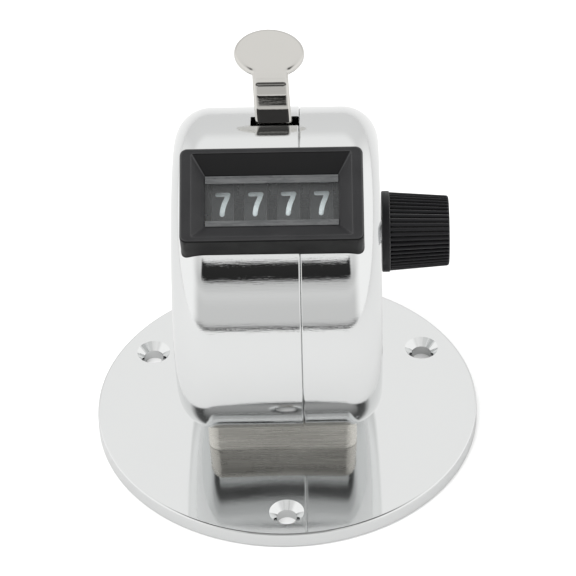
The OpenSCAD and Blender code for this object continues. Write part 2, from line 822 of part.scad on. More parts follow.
module lever_rocker() {
    spring_slot_x = 4.35;
    spring_slot_w = 0.9;
    color(steel) difference() {
        union() {
            for (x = [arm_left_x, arm_right_x]) slab(x, x + arm_t) arm_outline();
            slab(arm_left_x, arm_right_x + arm_t) bar_outline(bar_from, bar_to, 0);
        }
        slab(spring_slot_x, spring_slot_x + spring_slot_w) bar_outline(bar_from - 1, bar_to - 1, 0.1);
        rivet_holes();
    }
}

// The clips' grooves start pin_groove_gap outside the side plates.
pin_groove_gap = 0.02;
pin_groove_w = 0.36;

module lever_pin() {
    left = frame_left_x - pin_groove_gap - pin_groove_w;
    right = outer_right + pin_groove_gap;
    color(steel) difference() {
        rod(lever_at, pin_r, frame_left_x - pin_out, outer_right + pin_out);
        ring(lever_at, pin_groove_r, pin_r + 1, left, left + pin_groove_w);
        ring(lever_at, pin_groove_r, pin_r + 1, right, right + pin_groove_w);
    }
}

module lever_pin_clips() {
    clip_r = 1.7;
    t = pin_groove_w - 0.04;
    mouth_angle = -40;
    color(steel) {
        retaining_ring(lever_at, pin_groove_r, clip_r, frame_left_x - 0.04 - t, frame_left_x - 0.04,
                       mouth_angle);
        retaining_ring(lever_at, pin_groove_r, clip_r, outer_right + 0.04, outer_right + 0.04 + t,
                       mouth_angle);
    }
}

// The return spring, wound round the lever pin: one leg pushes the rocker's
// crossbar backwards, the other passes its slot and bears on the rear tie bar.
module lever_spring() {
    tie = tie_spots[2];
    bar_leg = 5;                    // how far along the crossbar its leg reaches
    overhang = 2;                   // how far the other leg runs past the tie bar
    on_bar = on_arm(bar_leg, bar_b - spring_wire_r - touch_gap);
    on_tie = tie + polar(tie_r + spring_wire_r + touch_gap, spring_lean + 90);
    past_tie = on_tie + polar(overhang, spring_lean);
    start = touch_angle(lever_at, spring_coil_r, on_bar, -1);
    end = touch_angle(lever_at, spring_coil_r, on_tie, 1);
    x1 = spring_x + spring_pitch * coil_sweep(start, end) / 360;
    color(steel) wire(concat(
        [[spring_x, on_bar[0], on_bar[1]]],
        coil(lever_at, spring_coil_r, spring_x, spring_pitch, start, end),
        [[x1, on_tie[0], on_tie[1]], [x1, past_tie[0], past_tie[1]]]
    ), spring_wire_r);
}

// A four-fingered comb. Each finger is a little shorter than its right-hand
// neighbour, so it drops into a tooth only when that neighbour finds a deep notch.
module drive_pawl() {
    finger_w = 0.9;
    step = 0.15;
    left = arm_left_x + arm_t + 0.15;
    right = arm_right_x - 0.15;
    reach = norm(pawl_tip - pawl_at);
    color(steel) difference() {
        union() {
            rod(pawl_at, pawl_barrel_r, left, right);
            for (i = [0:3])
                slab(wheel_left(i) + rim_w + 0.2, wheel_left(i) + rim_w + 0.2 + finger_w)
                    finger_outline(reach - step * (3 - i));
        }
        rod(pawl_at, pawl_pin_r + running, left - 1, right + 1);
    }
}

// A finger of the pawl, bowed so that it passes under the ratchet's teeth all through the stroke.
module finger_outline(tip) {
    finger_t = 0.7;
    clear_of_teeth = 0.06;
    top = [[0, -pawl_over], [2.6, -pawl_over], [5.4, -1.15], [7.0, -0.35],
           [8.4, clear_of_teeth], [tip, clear_of_teeth]];
    under = [[tip, clear_of_teeth + finger_t], [8.3, clear_of_teeth + finger_t + 0.05], [6.6, 0.4],
             [5.0, -0.35], [2.6, -pawl_under], [0, -pawl_under]];
    polygon([for (p = concat(top, under)) on_pawl(p[0], p[1])]);
}

module pawl_pin() {
    out = 0.3;
    color(steel) rod(pawl_at, pawl_pin_r, arm_left_x - out, arm_right_x + arm_t + out);
}

// A light torsion spring on the pawl's barrel. It bears on the back of the crossbar
// and holds the fingers up to the wheels from below.
module pawl_spring() {
    r = 0.15;
    x0 = -8.3;
    pitch = 0.34;
    coil_r = pawl_barrel_r + r + touch_gap;
    on_bar = on_arm(5.4, bar_b + bar_t + 2 * r);
    under = on_pawl(2.1, r + 0.05 - pawl_under);
    tail = on_pawl(2.5, r + touch_gap - pawl_under);
    start = touch_angle(pawl_at, coil_r, on_bar, -1);
    end = touch_angle(pawl_at, coil_r, under, 1);
    x1 = x0 + pitch * coil_sweep(start, end) / 360;
    color(steel) wire(concat(
        [[x0, on_bar[0], on_bar[1]]],
        coil(pawl_at, coil_r, x0, pitch, start, end),
        [[x1 + 1, under[0], under[1]], [x1 + 2.2, tail[0], tail[1]]]
    ), r);
}

// ------------------------------------------------------------------ detent

module detent_bar() {
    left = frame_left_x + plate_sheet;
    color(steel) difference() {
        union() {
            slab(left, frame_right_x) translate(detent_at) square(2 * bar_half, center = true);
            rod(detent_at, detent_end_r, frame_left_x - bar_end_out, outer_right + bar_end_out);
        }
        detent_screw_lines() cylinder(r = comb_screw_r, h = 4, center = true, $fn = 48);
    }
}

// Puts children made along +Z on the comb screws' lines, at the detent bar's front face.
module detent_screw_lines() {
    spread = 6;
    for (x = [wheels_x - spread, wheels_x + spread])
        translate([x, detent_at[0] - bar_half, detent_at[1]]) rotate([90, 0, 0]) children();
}

// The spring comb that stops the wheels from turning back.
module detent_comb() {
    clear = 0.22;
    tip_angle = -128;
    strip_half = 8.6;
    finger_from = 0.15;             // from the wheel's rim
    finger_w = 0.8;
    rise = 2 * bar_half + 0.4;
    upright = 0.5;                  // a finger's run up the strip before it leans to the ratchet
    short = 0.6;                    // what the bend takes off a finger's length
    tip = shaft_at + polar(ratchet_tip_r + clear, tip_angle);
    foot = detent_at - [bar_half + comb_t / 2, bar_half];
    bend = foot + [0, rise];
    lean = atan2(tip[1] - bend[1], tip[0] - bend[0]);
    color(steel) difference() {
        union() {
            slab(wheels_x - strip_half, wheels_x + strip_half)
                strip_outline([[rise, 0, 1]], foot, 90, comb_t);
            for (i = [0:3])
                slab(wheel_left(i) + rim_w + finger_from, wheel_left(i) + rim_w + finger_from + finger_w)
                    strip_outline([[upright, lean - 90, 1], [norm(tip - bend) - short, 0, 1]],
                                  bend - [0, upright], 90, comb_t);
        }
        detent_screw_lines() cylinder(r = comb_hole_r, h = 4, center = true, $fn = 48);
    }
}

module detent_screws() {
    shank = 1.8;
    head_r = 1.1;
    head_h = 0.6;
    slot_w = 0.3;
    color(steel) detent_screw_lines() difference() {
        union() {
            translate([0, 0, -shank]) cylinder(r = comb_screw_r, h = shank + comb_t, $fn = 48);
            translate([0, 0, comb_t]) cylinder(r = head_r, h = head_h, $fn = 48);
        }
        translate([0, 0, comb_t + head_h]) cube([slot_w, 2 * head_r + 1, head_h], center = true);
    }
}

base_plate();
pedestal();
pedestal_screws();
case_left();
case_right();
window_surround();
window_lens();
frame_left();
frame_right();
frame_foot();
foot_screws();
tie_bars();
wheel_shaft();
shaft_bushes();
shaft_spacers();
shaft_clip();
reset_knob();
units_wheel();
tens_wheel();
hundreds_wheel();
thousands_wheel();
units_clip();
tens_clip();
hundreds_clip();
thousands_clip();
thumb_lever();
lever_rocker();
lever_rivets();
lever_pin();
lever_pin_clips();
lever_spring();
drive_pawl();
pawl_pin();
pawl_spring();
detent_bar();
detent_comb();
detent_screws();
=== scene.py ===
"""A base-mounted tally counter: chrome drum, screw-down plate, thumb lever, number window and reset knob.

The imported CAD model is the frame. Each visible piece is built here from mesh code and rides on its CAD body;
the pieces inside the drum are the CAD nodes, with softened edges and their own materials.
Lengths are written in millimetres and turned into metres by MM.
"""

import json
import math

import bmesh
import bpy
from mathutils import Matrix, Vector


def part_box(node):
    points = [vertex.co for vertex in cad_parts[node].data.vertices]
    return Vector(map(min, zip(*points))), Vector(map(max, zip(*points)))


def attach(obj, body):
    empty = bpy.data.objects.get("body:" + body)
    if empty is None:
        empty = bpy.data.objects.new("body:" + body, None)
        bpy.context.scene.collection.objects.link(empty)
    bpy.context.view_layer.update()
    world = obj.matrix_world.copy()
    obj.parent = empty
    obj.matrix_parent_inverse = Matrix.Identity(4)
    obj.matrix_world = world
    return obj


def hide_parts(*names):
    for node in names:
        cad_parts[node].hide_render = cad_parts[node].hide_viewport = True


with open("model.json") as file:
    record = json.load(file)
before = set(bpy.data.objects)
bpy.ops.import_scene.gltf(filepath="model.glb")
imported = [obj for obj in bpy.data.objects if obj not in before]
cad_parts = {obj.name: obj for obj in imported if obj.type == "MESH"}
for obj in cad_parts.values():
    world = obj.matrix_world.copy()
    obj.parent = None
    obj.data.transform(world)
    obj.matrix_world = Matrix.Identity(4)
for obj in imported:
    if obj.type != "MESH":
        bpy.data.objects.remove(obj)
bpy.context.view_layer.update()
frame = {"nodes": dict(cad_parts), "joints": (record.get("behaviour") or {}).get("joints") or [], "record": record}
MM = 0.001
TAU = 2 * math.pi


# ------------------------------------------------------------------ places, from the CAD model

def middle(node):
    lo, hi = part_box(node)
    return (lo + hi) / 2


def joint_place(name):
    return Vector(next(j["pos_m"] for j in frame["joints"] if j["name"] == name))


DRUM_LO, DRUM_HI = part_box("case_left")
DRUM_R = (DRUM_HI.y - DRUM_LO.y) / 2
DRUM_Z = (DRUM_HI.z + DRUM_LO.z) / 2
DRUM_LEFT = DRUM_LO.x
RIGHT_LO, RIGHT_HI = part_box("case_right")
RIGHT_R = (RIGHT_HI.y - RIGHT_LO.y) / 2
DRUM_RIGHT = RIGHT_HI.x
SEAM_GAP = 0.02 * MM         # half the gap between the shells at the seam
SEAM_X = RIGHT_LO.x - SEAM_GAP
EDGE_R = 5.0 * MM            # rounding between the drum and its flat sides
SHEET = 0.8 * MM             # thickness of the shells

SHAFT = middle("wheel_shaft")
LEVER_PIVOT = joint_place("lever_press")
LEVER_X = middle("thumb_lever").x

WINDOW_TILT = math.radians(61.5)      # the window's normal above the horizontal
WINDOW_X = middle("window_surround").x
WINDOW_N = Vector((0, -math.cos(WINDOW_TILT), math.sin(WINDOW_TILT)))
WINDOW_V = Vector((0, math.sin(WINDOW_TILT), math.cos(WINDOW_TILT)))


SIDE_RIM, END_RIM = 1.5 * MM, 0.78 * MM      # width of the surround's flat rim at its sides and its ends
BEVEL_DEPTH = 2.0 * MM
SURROUND_H = 13.25 * MM
SURROUND_FRONT = 25.4 * MM   # distances out along the window's normal, from the drum's axis
SURROUND_FOOT = 18.7 * MM
LENS_FRONT, LENS_BACK = 23.3 * MM, 22.3 * MM
OPENING = (17.5 * MM, 7.25 * MM)
OPENING_DROP = 0.13 * MM     # the clear opening sits a touch below the surround's middle


def window_point(x, v, u):
    """A point in the row frame, from across and up the window and out along its normal."""
    return Vector((WINDOW_X + x, 0, DRUM_Z)) + WINDOW_V * v + WINDOW_N * u


def window_extent(node):
    """Lowest and highest (x, v, u) of a CAD node in the window's own frame."""
    rows = []
    for vertex in frame["nodes"][node].data.vertices:
        p = vertex.co - Vector((WINDOW_X, 0, DRUM_Z))
        rows.append((p.x, p.dot(WINDOW_V), p.dot(WINDOW_N)))
    return [min(r[k] for r in rows) for k in range(3)], [max(r[k] for r in rows) for k in range(3)]


# ------------------------------------------------------------------ mesh helpers

def add_object(name, mesh):
    obj = bpy.data.objects.new(name, mesh)
    bpy.context.scene.collection.objects.link(obj)
    return obj


def mesh_object(name, points, faces, smooth=True):
    mesh = bpy.data.meshes.new(name)
    mesh.from_pydata([tuple(p) for p in points], [], faces)
    bm = bmesh.new()
    bm.from_mesh(mesh)
    bmesh.ops.recalc_face_normals(bm, faces=bm.faces)
    bm.to_mesh(mesh)
    bm.free()
    for polygon in mesh.polygons:
        polygon.use_smooth = smooth
    return add_object(name, mesh)


def loft(name, loops, caps=True, ring=False):
    """A closed solid through loops of points: capped at its ends, or joined last to first."""
    n = len(loops[0])
    points = [p for loop in loops for p in loop]
    count = len(loops)
    faces = []
    for i in range(count if ring else count - 1):
        a, b = i * n, ((i + 1) % count) * n
        for k in range(n):
            m = (k + 1) % n
            faces.append((a + k, a + m, b + m, b + k))
    if caps and not ring:
        faces.append(tuple(range(n - 1, -1, -1)))
        faces.append(tuple((count - 1) * n + k for k in range(n)))
    return mesh_object(name, points, faces)


def lathe_x(name, profile, centre, segments=96, ring=False):
    """Revolves (x, radius) pairs about the X axis line through centre (y, z)."""
    loops = []
    for x, r in profile:
        loops.append([Vector((x, centre[0] + r * math.cos(TAU * k / segments),
                              centre[1] + r * math.sin(TAU * k / segments)))
                      for k in range(segments)])
    return loft(name, loops, ring=ring)


def lathe_z(name, profile, centre, segments=96):
    """Revolves (radius, z) pairs about the Z axis line through centre (x, y)."""
    loops = []
    for r, z in profile:
        loops.append([Vector((centre[0] + r * math.cos(TAU * k / segments),
                              centre[1] + r * math.sin(TAU * k / segments), z))
                      for k in range(segments)])
    return loft(name, loops)


def arc(cx, cy, r, start, end, steps):
    """Points on an arc, angles in degrees, both ends included."""
    return [(cx + r * math.cos(math.radians(start + (end - start) * k / steps)),
             cy + r * math.sin(math.radians(start + (end - start) * k / steps)))
            for k in range(steps + 1)]


def rounded_rect(w, h, r, steps=6):
    """Outline of a w by h rectangle with corner radius r, centred on (0, 0)."""
    r = max(r, 1e-6)
    points = []
    for sx, sy, start in ((1, 1, 0), (-1, 1, 90), (-1, -1, 180), (1, -1, 270)):
        points += arc(sx * (w / 2 - r), sy * (h / 2 - r), r, start, start + 90, steps)
    return points


def cut(obj, *cutters):
    """Cuts closed meshes out of obj and removes them."""
    for cutter in cutters:
        modifier = obj.modifiers.new("cut", "BOOLEAN")
        modifier.operation = "DIFFERENCE"
        modifier.solver = "EXACT"
        modifier.object = cutter
    bake(obj)
    for cutter in cutters:
        bpy.data.objects.remove(cutter)
    return obj


def bake(obj):
    """Applies the modifiers."""
    bpy.context.view_layer.update()
    evaluated = obj.evaluated_get(bpy.context.evaluated_depsgraph_get())
    mesh = bpy.data.meshes.new_from_object(evaluated)
    old = obj.data
    obj.modifiers.clear()
    obj.data = mesh
    mesh.name = obj.name
    bpy.data.meshes.remove(old)
    return obj


def soften(obj, width=0.0, angle=32, segments=2):
    """Smooth shading with crisp flats, and a small bevel on the sharp edges if a width is given."""
    for polygon in obj.data.polygons:
        polygon.use_smooth = True
    if width:
        bevel = obj.modifiers.new("edges", "BEVEL")
        bevel.width = width
        bevel.segments = segments
        bevel.limit_method = "ANGLE"
        bevel.angle_limit = math.radians(angle)
        bevel.harden_normals = False
    else:
        obj.data.set_sharp_from_angle(angle=math.radians(angle))
    weighted = obj.modifiers.new("normals", "WEIGHTED_NORMAL")
    weighted.keep_sharp = True
    weighted.weight = 80
    return obj


def dress(obj, body, material, slot, *nodes):
    """Material, body, and the CAD nodes the piece stands for. The finish slot argument is not used."""
    obj.data.materials.clear()
    obj.data.materials.append(material)
    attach(obj, body)
    if nodes:
        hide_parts(*nodes)
    return obj


# ------------------------------------------------------------------ material helpers

class Graph:
    """A material's node tree, built by short calls."""

    def __init__(self, name):
        self.material = bpy.data.materials.new(name)
        self.material.use_nodes = True
        self.tree = self.material.node_tree
        self.tree.nodes.clear()
        self.out = self.tree.nodes.new("ShaderNodeOutputMaterial")
        self.place = self.tree.nodes.new("ShaderNodeTexCoord").outputs["Object"]

    def node(self, kind, inputs=None, **settings):
        made = self.tree.nodes.new(kind)
        for key, value in settings.items():
            setattr(made, key, value)
        for key, value in (inputs or {}).items():
            self.feed(made.inputs[key], value)
        return made

    def feed(self, socket, value):
        if isinstance(value, bpy.types.NodeSocket):
            self.tree.links.new(value, socket)
        else:
            socket.default_value = value

    def noise(self, size_mm, detail=3.0, rough=0.5, stretch=(1, 1, 1)):
        """Noise whose features are about size_mm across, stretched per axis. Runs from 0 to 1."""
        scaled = self.node("ShaderNodeMapping", {"Vector": self.place,
                                                 "Scale": tuple(1 / s for s in stretch)})
        made = self.node("ShaderNodeTexNoise", {
            "Vector": scaled.outputs[0], "Scale": 1 / (size_mm * MM), "Detail": detail, "Roughness": rough})
        return made.outputs["Fac"]

    def spread(self, value, low, high, start=0.3, end=0.7):
        """Maps the start..end span of value to low..high."""
        made = self.node("ShaderNodeMapRange", {"Value": value, "From Min": start, "From Max": end,
                                                "To Min": low, "To Max": high})
        made.clamp = True
        return made.outputs[0]

    def tint(self, value, dark, light):
        made = self.node("ShaderNodeMix", {"Factor": value}, data_type="RGBA")
        made.inputs[6].default_value = (*dark, 1)
        made.inputs[7].default_value = (*light, 1)
        return made.outputs[2]

    def bump(self, height, depth_mm, normal=None, strength=1.0):
        made = self.node("ShaderNodeBump",
                         {"Height": height, "Distance": depth_mm * MM, "Strength": strength})
        if normal is not None:
            self.tree.links.new(normal, made.inputs["Normal"])
        return made.outputs[0]

    def edge_mask(self, radius_mm):
        """Near 1 on sharp convex or concave edges, 0 on flats."""
        soft = self.node("ShaderNodeBevel", {"Radius": radius_mm * MM}, samples=4)
        geometry = self.node("ShaderNodeNewGeometry")
        product = self.node("ShaderNodeVectorMath", {0: soft.outputs[0], 1: geometry.outputs["Normal"]},
                            operation="DOT_PRODUCT")
        return self.spread(product.outputs["Value"], 1.0, 0.0, 0.90, 0.998)

    def bell(self, radius_mm):
        """1 on the Z axis, falling away from it as a bell, to 0.37 at radius_mm."""
        flat = self.node("ShaderNodeVectorMath", {0: self.place, 1: (1 / (radius_mm * MM),) * 2 + (0,)},
                         operation="MULTIPLY")
        square = self.node("ShaderNodeVectorMath", {0: flat.outputs[0], 1: flat.outputs[0]},
                           operation="DOT_PRODUCT")
        return self.node("ShaderNodeMath", {0: 1 / math.e, 1: square.outputs["Value"]},
                         operation="POWER").outputs[0]

    def facing_up(self, low, start, end):
        """1 where the surface faces up, falling to low where it faces down."""
        split = self.node("ShaderNodeSeparateXYZ", {0: self.node("ShaderNodeNewGeometry").outputs["Normal"]})
        return self.spread(split.outputs[2], low, 1.0, start, end)

    def open_air(self, reach_mm, low):
        """1 in the open, falling to low in grooves narrower than reach_mm."""
        made = self.node("ShaderNodeAmbientOcclusion", {"Distance": reach_mm * MM},
                         samples=6, only_local=True)
        return self.spread(made.outputs["AO"], low, 1.0, 0.45, 0.95)

    def dimmed_in_mirrors(self, tone, factor):
        """The tone as it is, and times factor where another surface mirrors it."""
        seen = self.node("ShaderNodeLightPath").outputs["Is Glossy Ray"]
        made = self.node("ShaderNodeMix", {"Factor": seen}, data_type="RGBA", blend_type="MULTIPLY")
        self.feed(made.inputs[6], tone)
        made.inputs[7].default_value = (factor,) * 3 + (1,)
        return made.outputs[2]

    def surface(self, **inputs):
        made = self.node("ShaderNodeBsdfPrincipled")
        for key, value in inputs.items():
            self.feed(made.inputs[key.replace("_", " ")], value)
        self.tree.links.new(made.outputs[0], self.out.inputs[0])
        return made


def chrome(name, colour=(0.77, 0.778, 0.778), wave_mm=0.006, wave_size=9.0, rough=(0.018, 0.048),
           streak_mm=0.0, dome_mm=0.0):
    """Bright plate over pressed or turned metal: a mirror with faint waves, haze and fine wipe marks.

    rough is its least and most roughness, streak_mm the depth of fine polishing lines along X, and dome_mm
    how far the middle of the base bulges, in the shading only.
    """
    g = Graph(name)
    haze = g.noise(6.0, 4.0, 0.55)
    wipes = g.noise(0.5, 3.0, 0.6, stretch=(12, 1, 1))
    waves = g.noise(wave_size, 1.0, 0.4)
    grain = g.noise(0.35, 2.0, 0.5)
    dark = tuple(c * 0.985 for c in colour)
    finish = g.node("ShaderNodeMath", {0: g.spread(haze, *rough),
                                       1: g.spread(wipes, 0.0, 0.018, 0.45, 0.8)}, operation="ADD")
    normal = g.bump(grain, 0.00025, g.bump(waves, wave_mm))
    if streak_mm:
        normal = g.bump(g.noise(0.22, 4.0, 0.7, stretch=(14, 1, 1)), streak_mm, normal)
    if dome_mm:
        normal = g.bump(g.bell(14.0), dome_mm, normal)
    g.surface(Base_Color=g.tint(haze, dark, colour), Metallic=1.0, Roughness=finish.outputs[0], Normal=normal)
    return g.material


def brushed(name, colour, direction=(40, 1, 1), rough=0.3, depth=0.004, line_mm=0.09, mirrored=1.0):
    """Metal with fine parallel brush lines along the long axis of direction.

    mirrored dims its images in the mirrors round it, which see it in the shade of the drum.
    """
    g = Graph(name)
    lines = g.noise(line_mm, 3.0, 0.65, stretch=direction)
    broad = g.noise(line_mm * 6, 2.0, 0.5, stretch=direction)
    cloud = g.noise(5.0, 2.0)
    dark = tuple(c * 0.72 for c in colour)
    tone = g.tint(g.spread(lines, 0.0, 1.0, 0.35, 0.65), dark, colour)
    mixed = g.node("ShaderNodeMath", {0: g.spread(broad, rough - 0.05, rough + 0.07),
                                      1: g.spread(cloud, -0.02, 0.03)}, operation="ADD")
    if mirrored < 1.0:
        tone = g.dimmed_in_mirrors(tone, mirrored)
    g.surface(Base_Color=tone, Metallic=1.0, Roughness=mixed.outputs[0], Normal=g.bump(lines, depth))
    return g.material


def moulded(name, colour, rough=0.42, grain_mm=0.12, depth=0.003, sheen=0.5, groove_mm=0.0, under=1.0):
    """Moulded plastic: fine spark-eroded grain, uneven gloss, and edges worn a little lighter.

    groove_mm paints shade into grooves of that width, darkening their colour and gloss, and under is the share
    of colour and gloss left on faces that look down, as painted shade.
    """
    g = Graph(name)
    # Painted shade: darker colour and gloss in grooves, or on faces that look down.
    gloss = g.open_air(groove_mm, 0.05) if groove_mm else g.facing_up(under, 0.34, 0.52)
    grain = g.noise(grain_mm, 4.0, 0.6)
    patch = g.noise(3.5, 3.0, 0.5)
    worn = g.node("ShaderNodeMath", {0: g.edge_mask(0.18), 1: g.spread(g.noise(0.9), 0.2, 1.0)},
                  operation="MULTIPLY")
    base = g.tint(g.spread(patch, 0.0, 1.0), tuple(c * 0.85 for c in colour), colour)
    light = tuple(min(1.0, c * 1.9 + 0.008) for c in colour)
    tone = g.node("ShaderNodeMix", {"Factor": worn.outputs[0]}, data_type="RGBA")
    g.tree.links.new(base, tone.inputs[6])
    tone.inputs[7].default_value = (*light, 1)
    level = g.node("ShaderNodeMath", {0: gloss, 1: sheen}, operation="MULTIPLY")
    shade = g.node("ShaderNodeMix", {"Factor": gloss}, data_type="RGBA")
    g.tree.links.new(tone.outputs[2], shade.inputs[7])
    shade.inputs[6].default_value = (0, 0, 0, 1)
    g.surface(Base_Color=shade.outputs[2], Roughness=g.spread(patch, rough - 0.05, rough + 0.06),
              Specular_IOR_Level=level.outputs[0], Normal=g.bump(grain, depth))
    return g.material


def clear_plastic(name):
    """A clear window: see-through, with a soft gloss and a trace of haze and fine scuffs."""
    g = Graph(name)
    scuffs = g.noise(0.25, 3.0, 0.7, stretch=(6, 1, 1))
    dust = g.spread(g.noise(0.22, 2.0, 0.6), 0.0, 1.0, 0.66, 0.74)
    gloss = g.node("ShaderNodeBsdfGlossy", {"Roughness": g.spread(scuffs, 0.10, 0.22),
                                            "Normal": g.bump(scuffs, 0.0006)})
    clear = g.node("ShaderNodeBsdfTransparent", {"Color": (0.975, 0.985, 0.985, 1)})
    haze = g.node("ShaderNodeBsdfDiffuse", {"Color": (0.80, 0.82, 0.83, 1)})
    amount = g.node("ShaderNodeMath", {0: g.spread(g.noise(4.0), 0.02, 0.05), 1: dust, 2: 0.035},
                    operation="MULTIPLY_ADD")
    inner = g.node("ShaderNodeMixShader", {0: amount.outputs[0]})
    g.tree.links.new(clear.outputs[0], inner.inputs[1])
    g.tree.links.new(haze.outputs[0], inner.inputs[2])
    fresnel = g.node("ShaderNodeFresnel", {"IOR": 1.33})
    mixed = g.node("ShaderNodeMixShader", {0: fresnel.outputs[0]})
    g.tree.links.new(inner.outputs[0], mixed.inputs[1])
    g.tree.links.new(gloss.outputs[0], mixed.inputs[2])
    g.tree.links.new(mixed.outputs[0], g.out.inputs[0])
    return g.material


def frosted_plastic(name):
    """The lens's moulded rails, greyer than the clear pane."""
    g = Graph(name)
    patch = g.noise(0.8, 3.0, 0.6, stretch=(5, 1, 1))
    g.surface(Base_Color=g.tint(g.spread(patch, 0.0, 1.0), (0.075, 0.078, 0.08), (0.125, 0.128, 0.13)),
              Roughness=g.spread(patch, 0.22, 0.36), Specular_IOR_Level=0.5,
              Normal=g.bump(g.noise(0.3), 0.004))
    return g.material


def printed_ink(name):
    """Off-white printed figures with a slightly uneven coat."""
    g = Graph(name)
    patch = g.noise(0.5, 4.0, 0.6)
    g.surface(Base_Color=g.tint(g.spread(patch, 0.0, 1.0), (0.80, 0.87, 0.89), (0.90, 0.96, 0.98)),
              Roughness=g.spread(patch, 0.45, 0.6), Normal=g.bump(patch, 0.004))
    return g.material


# ------------------------------------------------------------------ base plate and pedestal

PLATE_LO, PLATE_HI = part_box("base_plate")
PLATE_R = (PLATE_HI.x - PLATE_LO.x) / 2
PLATE_T = PLATE_HI.z - PLATE_LO.z
FIXING_CIRCLE_R = 22.5 * MM
FIXING_HOLE_R = 1.4 * MM
FIXING_SINK_R = 2.5 * MM         # radius of the countersinks, just above the plate's face
FIXING_SINK_DEPTH = 1.0 * MM
SCREW_HOLE_R = 1.65 * MM         # clearance holes for the screws up through the pedestal
SCREW_HEAD_R = 3.0 * MM
SCREW_SINK_R = 3.2 * MM
SCREW_SINK_DEPTH = 1.72 * MM
PAST = 1 * MM                    # how far a cutter runs out past a face
JUST_PAST = 0.1 * MM


def cone_cutter(x, y, z0, r0, z1, r1):
    return lathe_z("cutter", [(r0, z0), (r1, z1)], (x, y), 64)


def hole_cutter(x, y, z0, z1, r):
    return cone_cutter(x, y, z0, r, z1, r)


def pedestal_screws_x():
    """Where the two screws stand that go up through the plate and the pedestal."""
    lo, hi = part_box("pedestal_screws")
    return lo.x + SCREW_HEAD_R, hi.x - SCREW_HEAD_R


def build_plate(material):
    soft, under = 0.35 * MM, 0.25 * MM
    profile = [(0.4 * PLATE_R, 0.0), (PLATE_R - under, 0.0), (PLATE_R, under)]
    profile += arc(PLATE_R - soft, PLATE_T - soft, soft, 0, 90, 6)
    profile += [(0.4 * PLATE_R, PLATE_T)]
    plate = lathe_z("plate", profile, (0, 0), 256)
    cutters = []
    for angle in (30, 150, 270):
        x = FIXING_CIRCLE_R * math.cos(math.radians(angle))
        y = FIXING_CIRCLE_R * math.sin(math.radians(angle))
        cutters.append(hole_cutter(x, y, -PAST, PLATE_T + PAST, FIXING_HOLE_R))
        cutters.append(cone_cutter(x, y, PLATE_T - FIXING_SINK_DEPTH, FIXING_HOLE_R,
                                   PLATE_T + JUST_PAST, FIXING_SINK_R))
    for x in pedestal_screws_x():
        cutters.append(hole_cutter(x, 0, -PAST, PLATE_T + PAST, SCREW_HOLE_R))
        cutters.append(cone_cutter(x, 0, -JUST_PAST, SCREW_SINK_R,
                                   SCREW_SINK_DEPTH, SCREW_HOLE_R - 0.05 * MM))
    cut(plate, *cutters)
    soften(plate, angle=25)
    dress(plate, "stand", material, "plate_chrome", "base_plate")


PEDESTAL_FLARE = 0.05            # the front and back faces lean out, by this much of their height
PEDESTAL_FOOT = 0.7 * MM         # and are upright below this height


def build_pedestal(material):
    lo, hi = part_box("pedestal")
    w, depth, cx = hi.x - lo.x, hi.y - lo.y, (lo.x + hi.x) / 2
    top = DRUM_Z - 12 * MM
    loops = []
    for z in (lo.z, lo.z + PEDESTAL_FOOT, top):
        flare = 2 * PEDESTAL_FLARE * max(0.0, z - lo.z - PEDESTAL_FOOT)
        loops.append([Vector((cx + x, y, z)) for x, y in rounded_rect(w, depth + flare, 1.8 * MM, 10)])
    block = loft("pedestal_block", loops)
    drum = lathe_x("cutter", [(DRUM_LEFT - 5 * MM, DRUM_R), (DRUM_RIGHT + 5 * MM, DRUM_R)], (0, DRUM_Z), 256)
    cut(block, drum)
    soften(block, 0.18 * MM, 40, 3)
    dress(block, "stand", material, "pedestal_nickel", "pedestal")


# ------------------------------------------------------------------ case shells

RIM_R = 0.22 * MM           # rounding of the shells' rims at the seam


def shell_profile(side, rim, r):
    """Closed (x, radius) section of one shell, from its side's middle out to the rim and back."""
    s = 1 if rim > side else -1
    pole = 0.02 * MM
    hub = side + s * EDGE_R
    outer = [(side, pole + (r - EDGE_R - pole) * k / 6) for k in range(6)]
    for k in range(33):
        a = math.radians(90 * k / 32)
        outer.append((hub - s * EDGE_R * math.cos(a), r - EDGE_R + EDGE_R * math.sin(a)))
    body = rim - s * RIM_R
    outer += [(hub + (body - hub) * k / 12, r) for k in range(1, 12)]
    for k in range(7):
        a = math.radians(90 * k / 6)
        outer.append((body + s * RIM_R * math.sin(a), r - RIM_R + RIM_R * math.cos(a)))
    inner_r = r - SHEET
    small = EDGE_R - SHEET
    inner = [(rim, inner_r), (hub, inner_r)]
    for k in range(1, 9):
        a = math.radians(90 * k / 8)
        inner.append((hub - s * small * math.sin(a), inner_r - small + small * math.cos(a)))
    inner.append((side + s * SHEET, pole))
    return outer + inner


def shell_normal(p, side, rim, r):
    """The exact outward normal of a shell's outer skin at p, or None away from that skin."""
    s = 1 if rim > side else -1
    radial = Vector((0, p.y, p.z - DRUM_Z))
    rho = radial.length
    out = radial / rho if rho > 1e-9 else Vector((0, 0, 1))
    hub = side + s * EDGE_R
    body = rim - s * RIM_R
    close = 0.03 * MM
    if (p.x - hub) * s >= 0 and (p.x - body) * s <= 0:
        return out if abs(rho - r) < close else None
    if (p.x - body) * s > 0:
        across = Vector((p.x - body, rho - (r - RIM_R)))
        if abs(across.length - RIM_R) > close or across.y < -close:
            return None
        across.normalize()
        return Vector((across.x, 0, 0)) + out * across.y
    across = Vector((p.x - hub, rho - (r - EDGE_R)))
    if across.y > 0:
        if abs(across.length - EDGE_R) > close:
            return None
        across.normalize()
        return Vector((across.x, 0, 0)) + out * across.y
    return Vector((-s, 0, 0)) if abs(p.x - side) < close else None


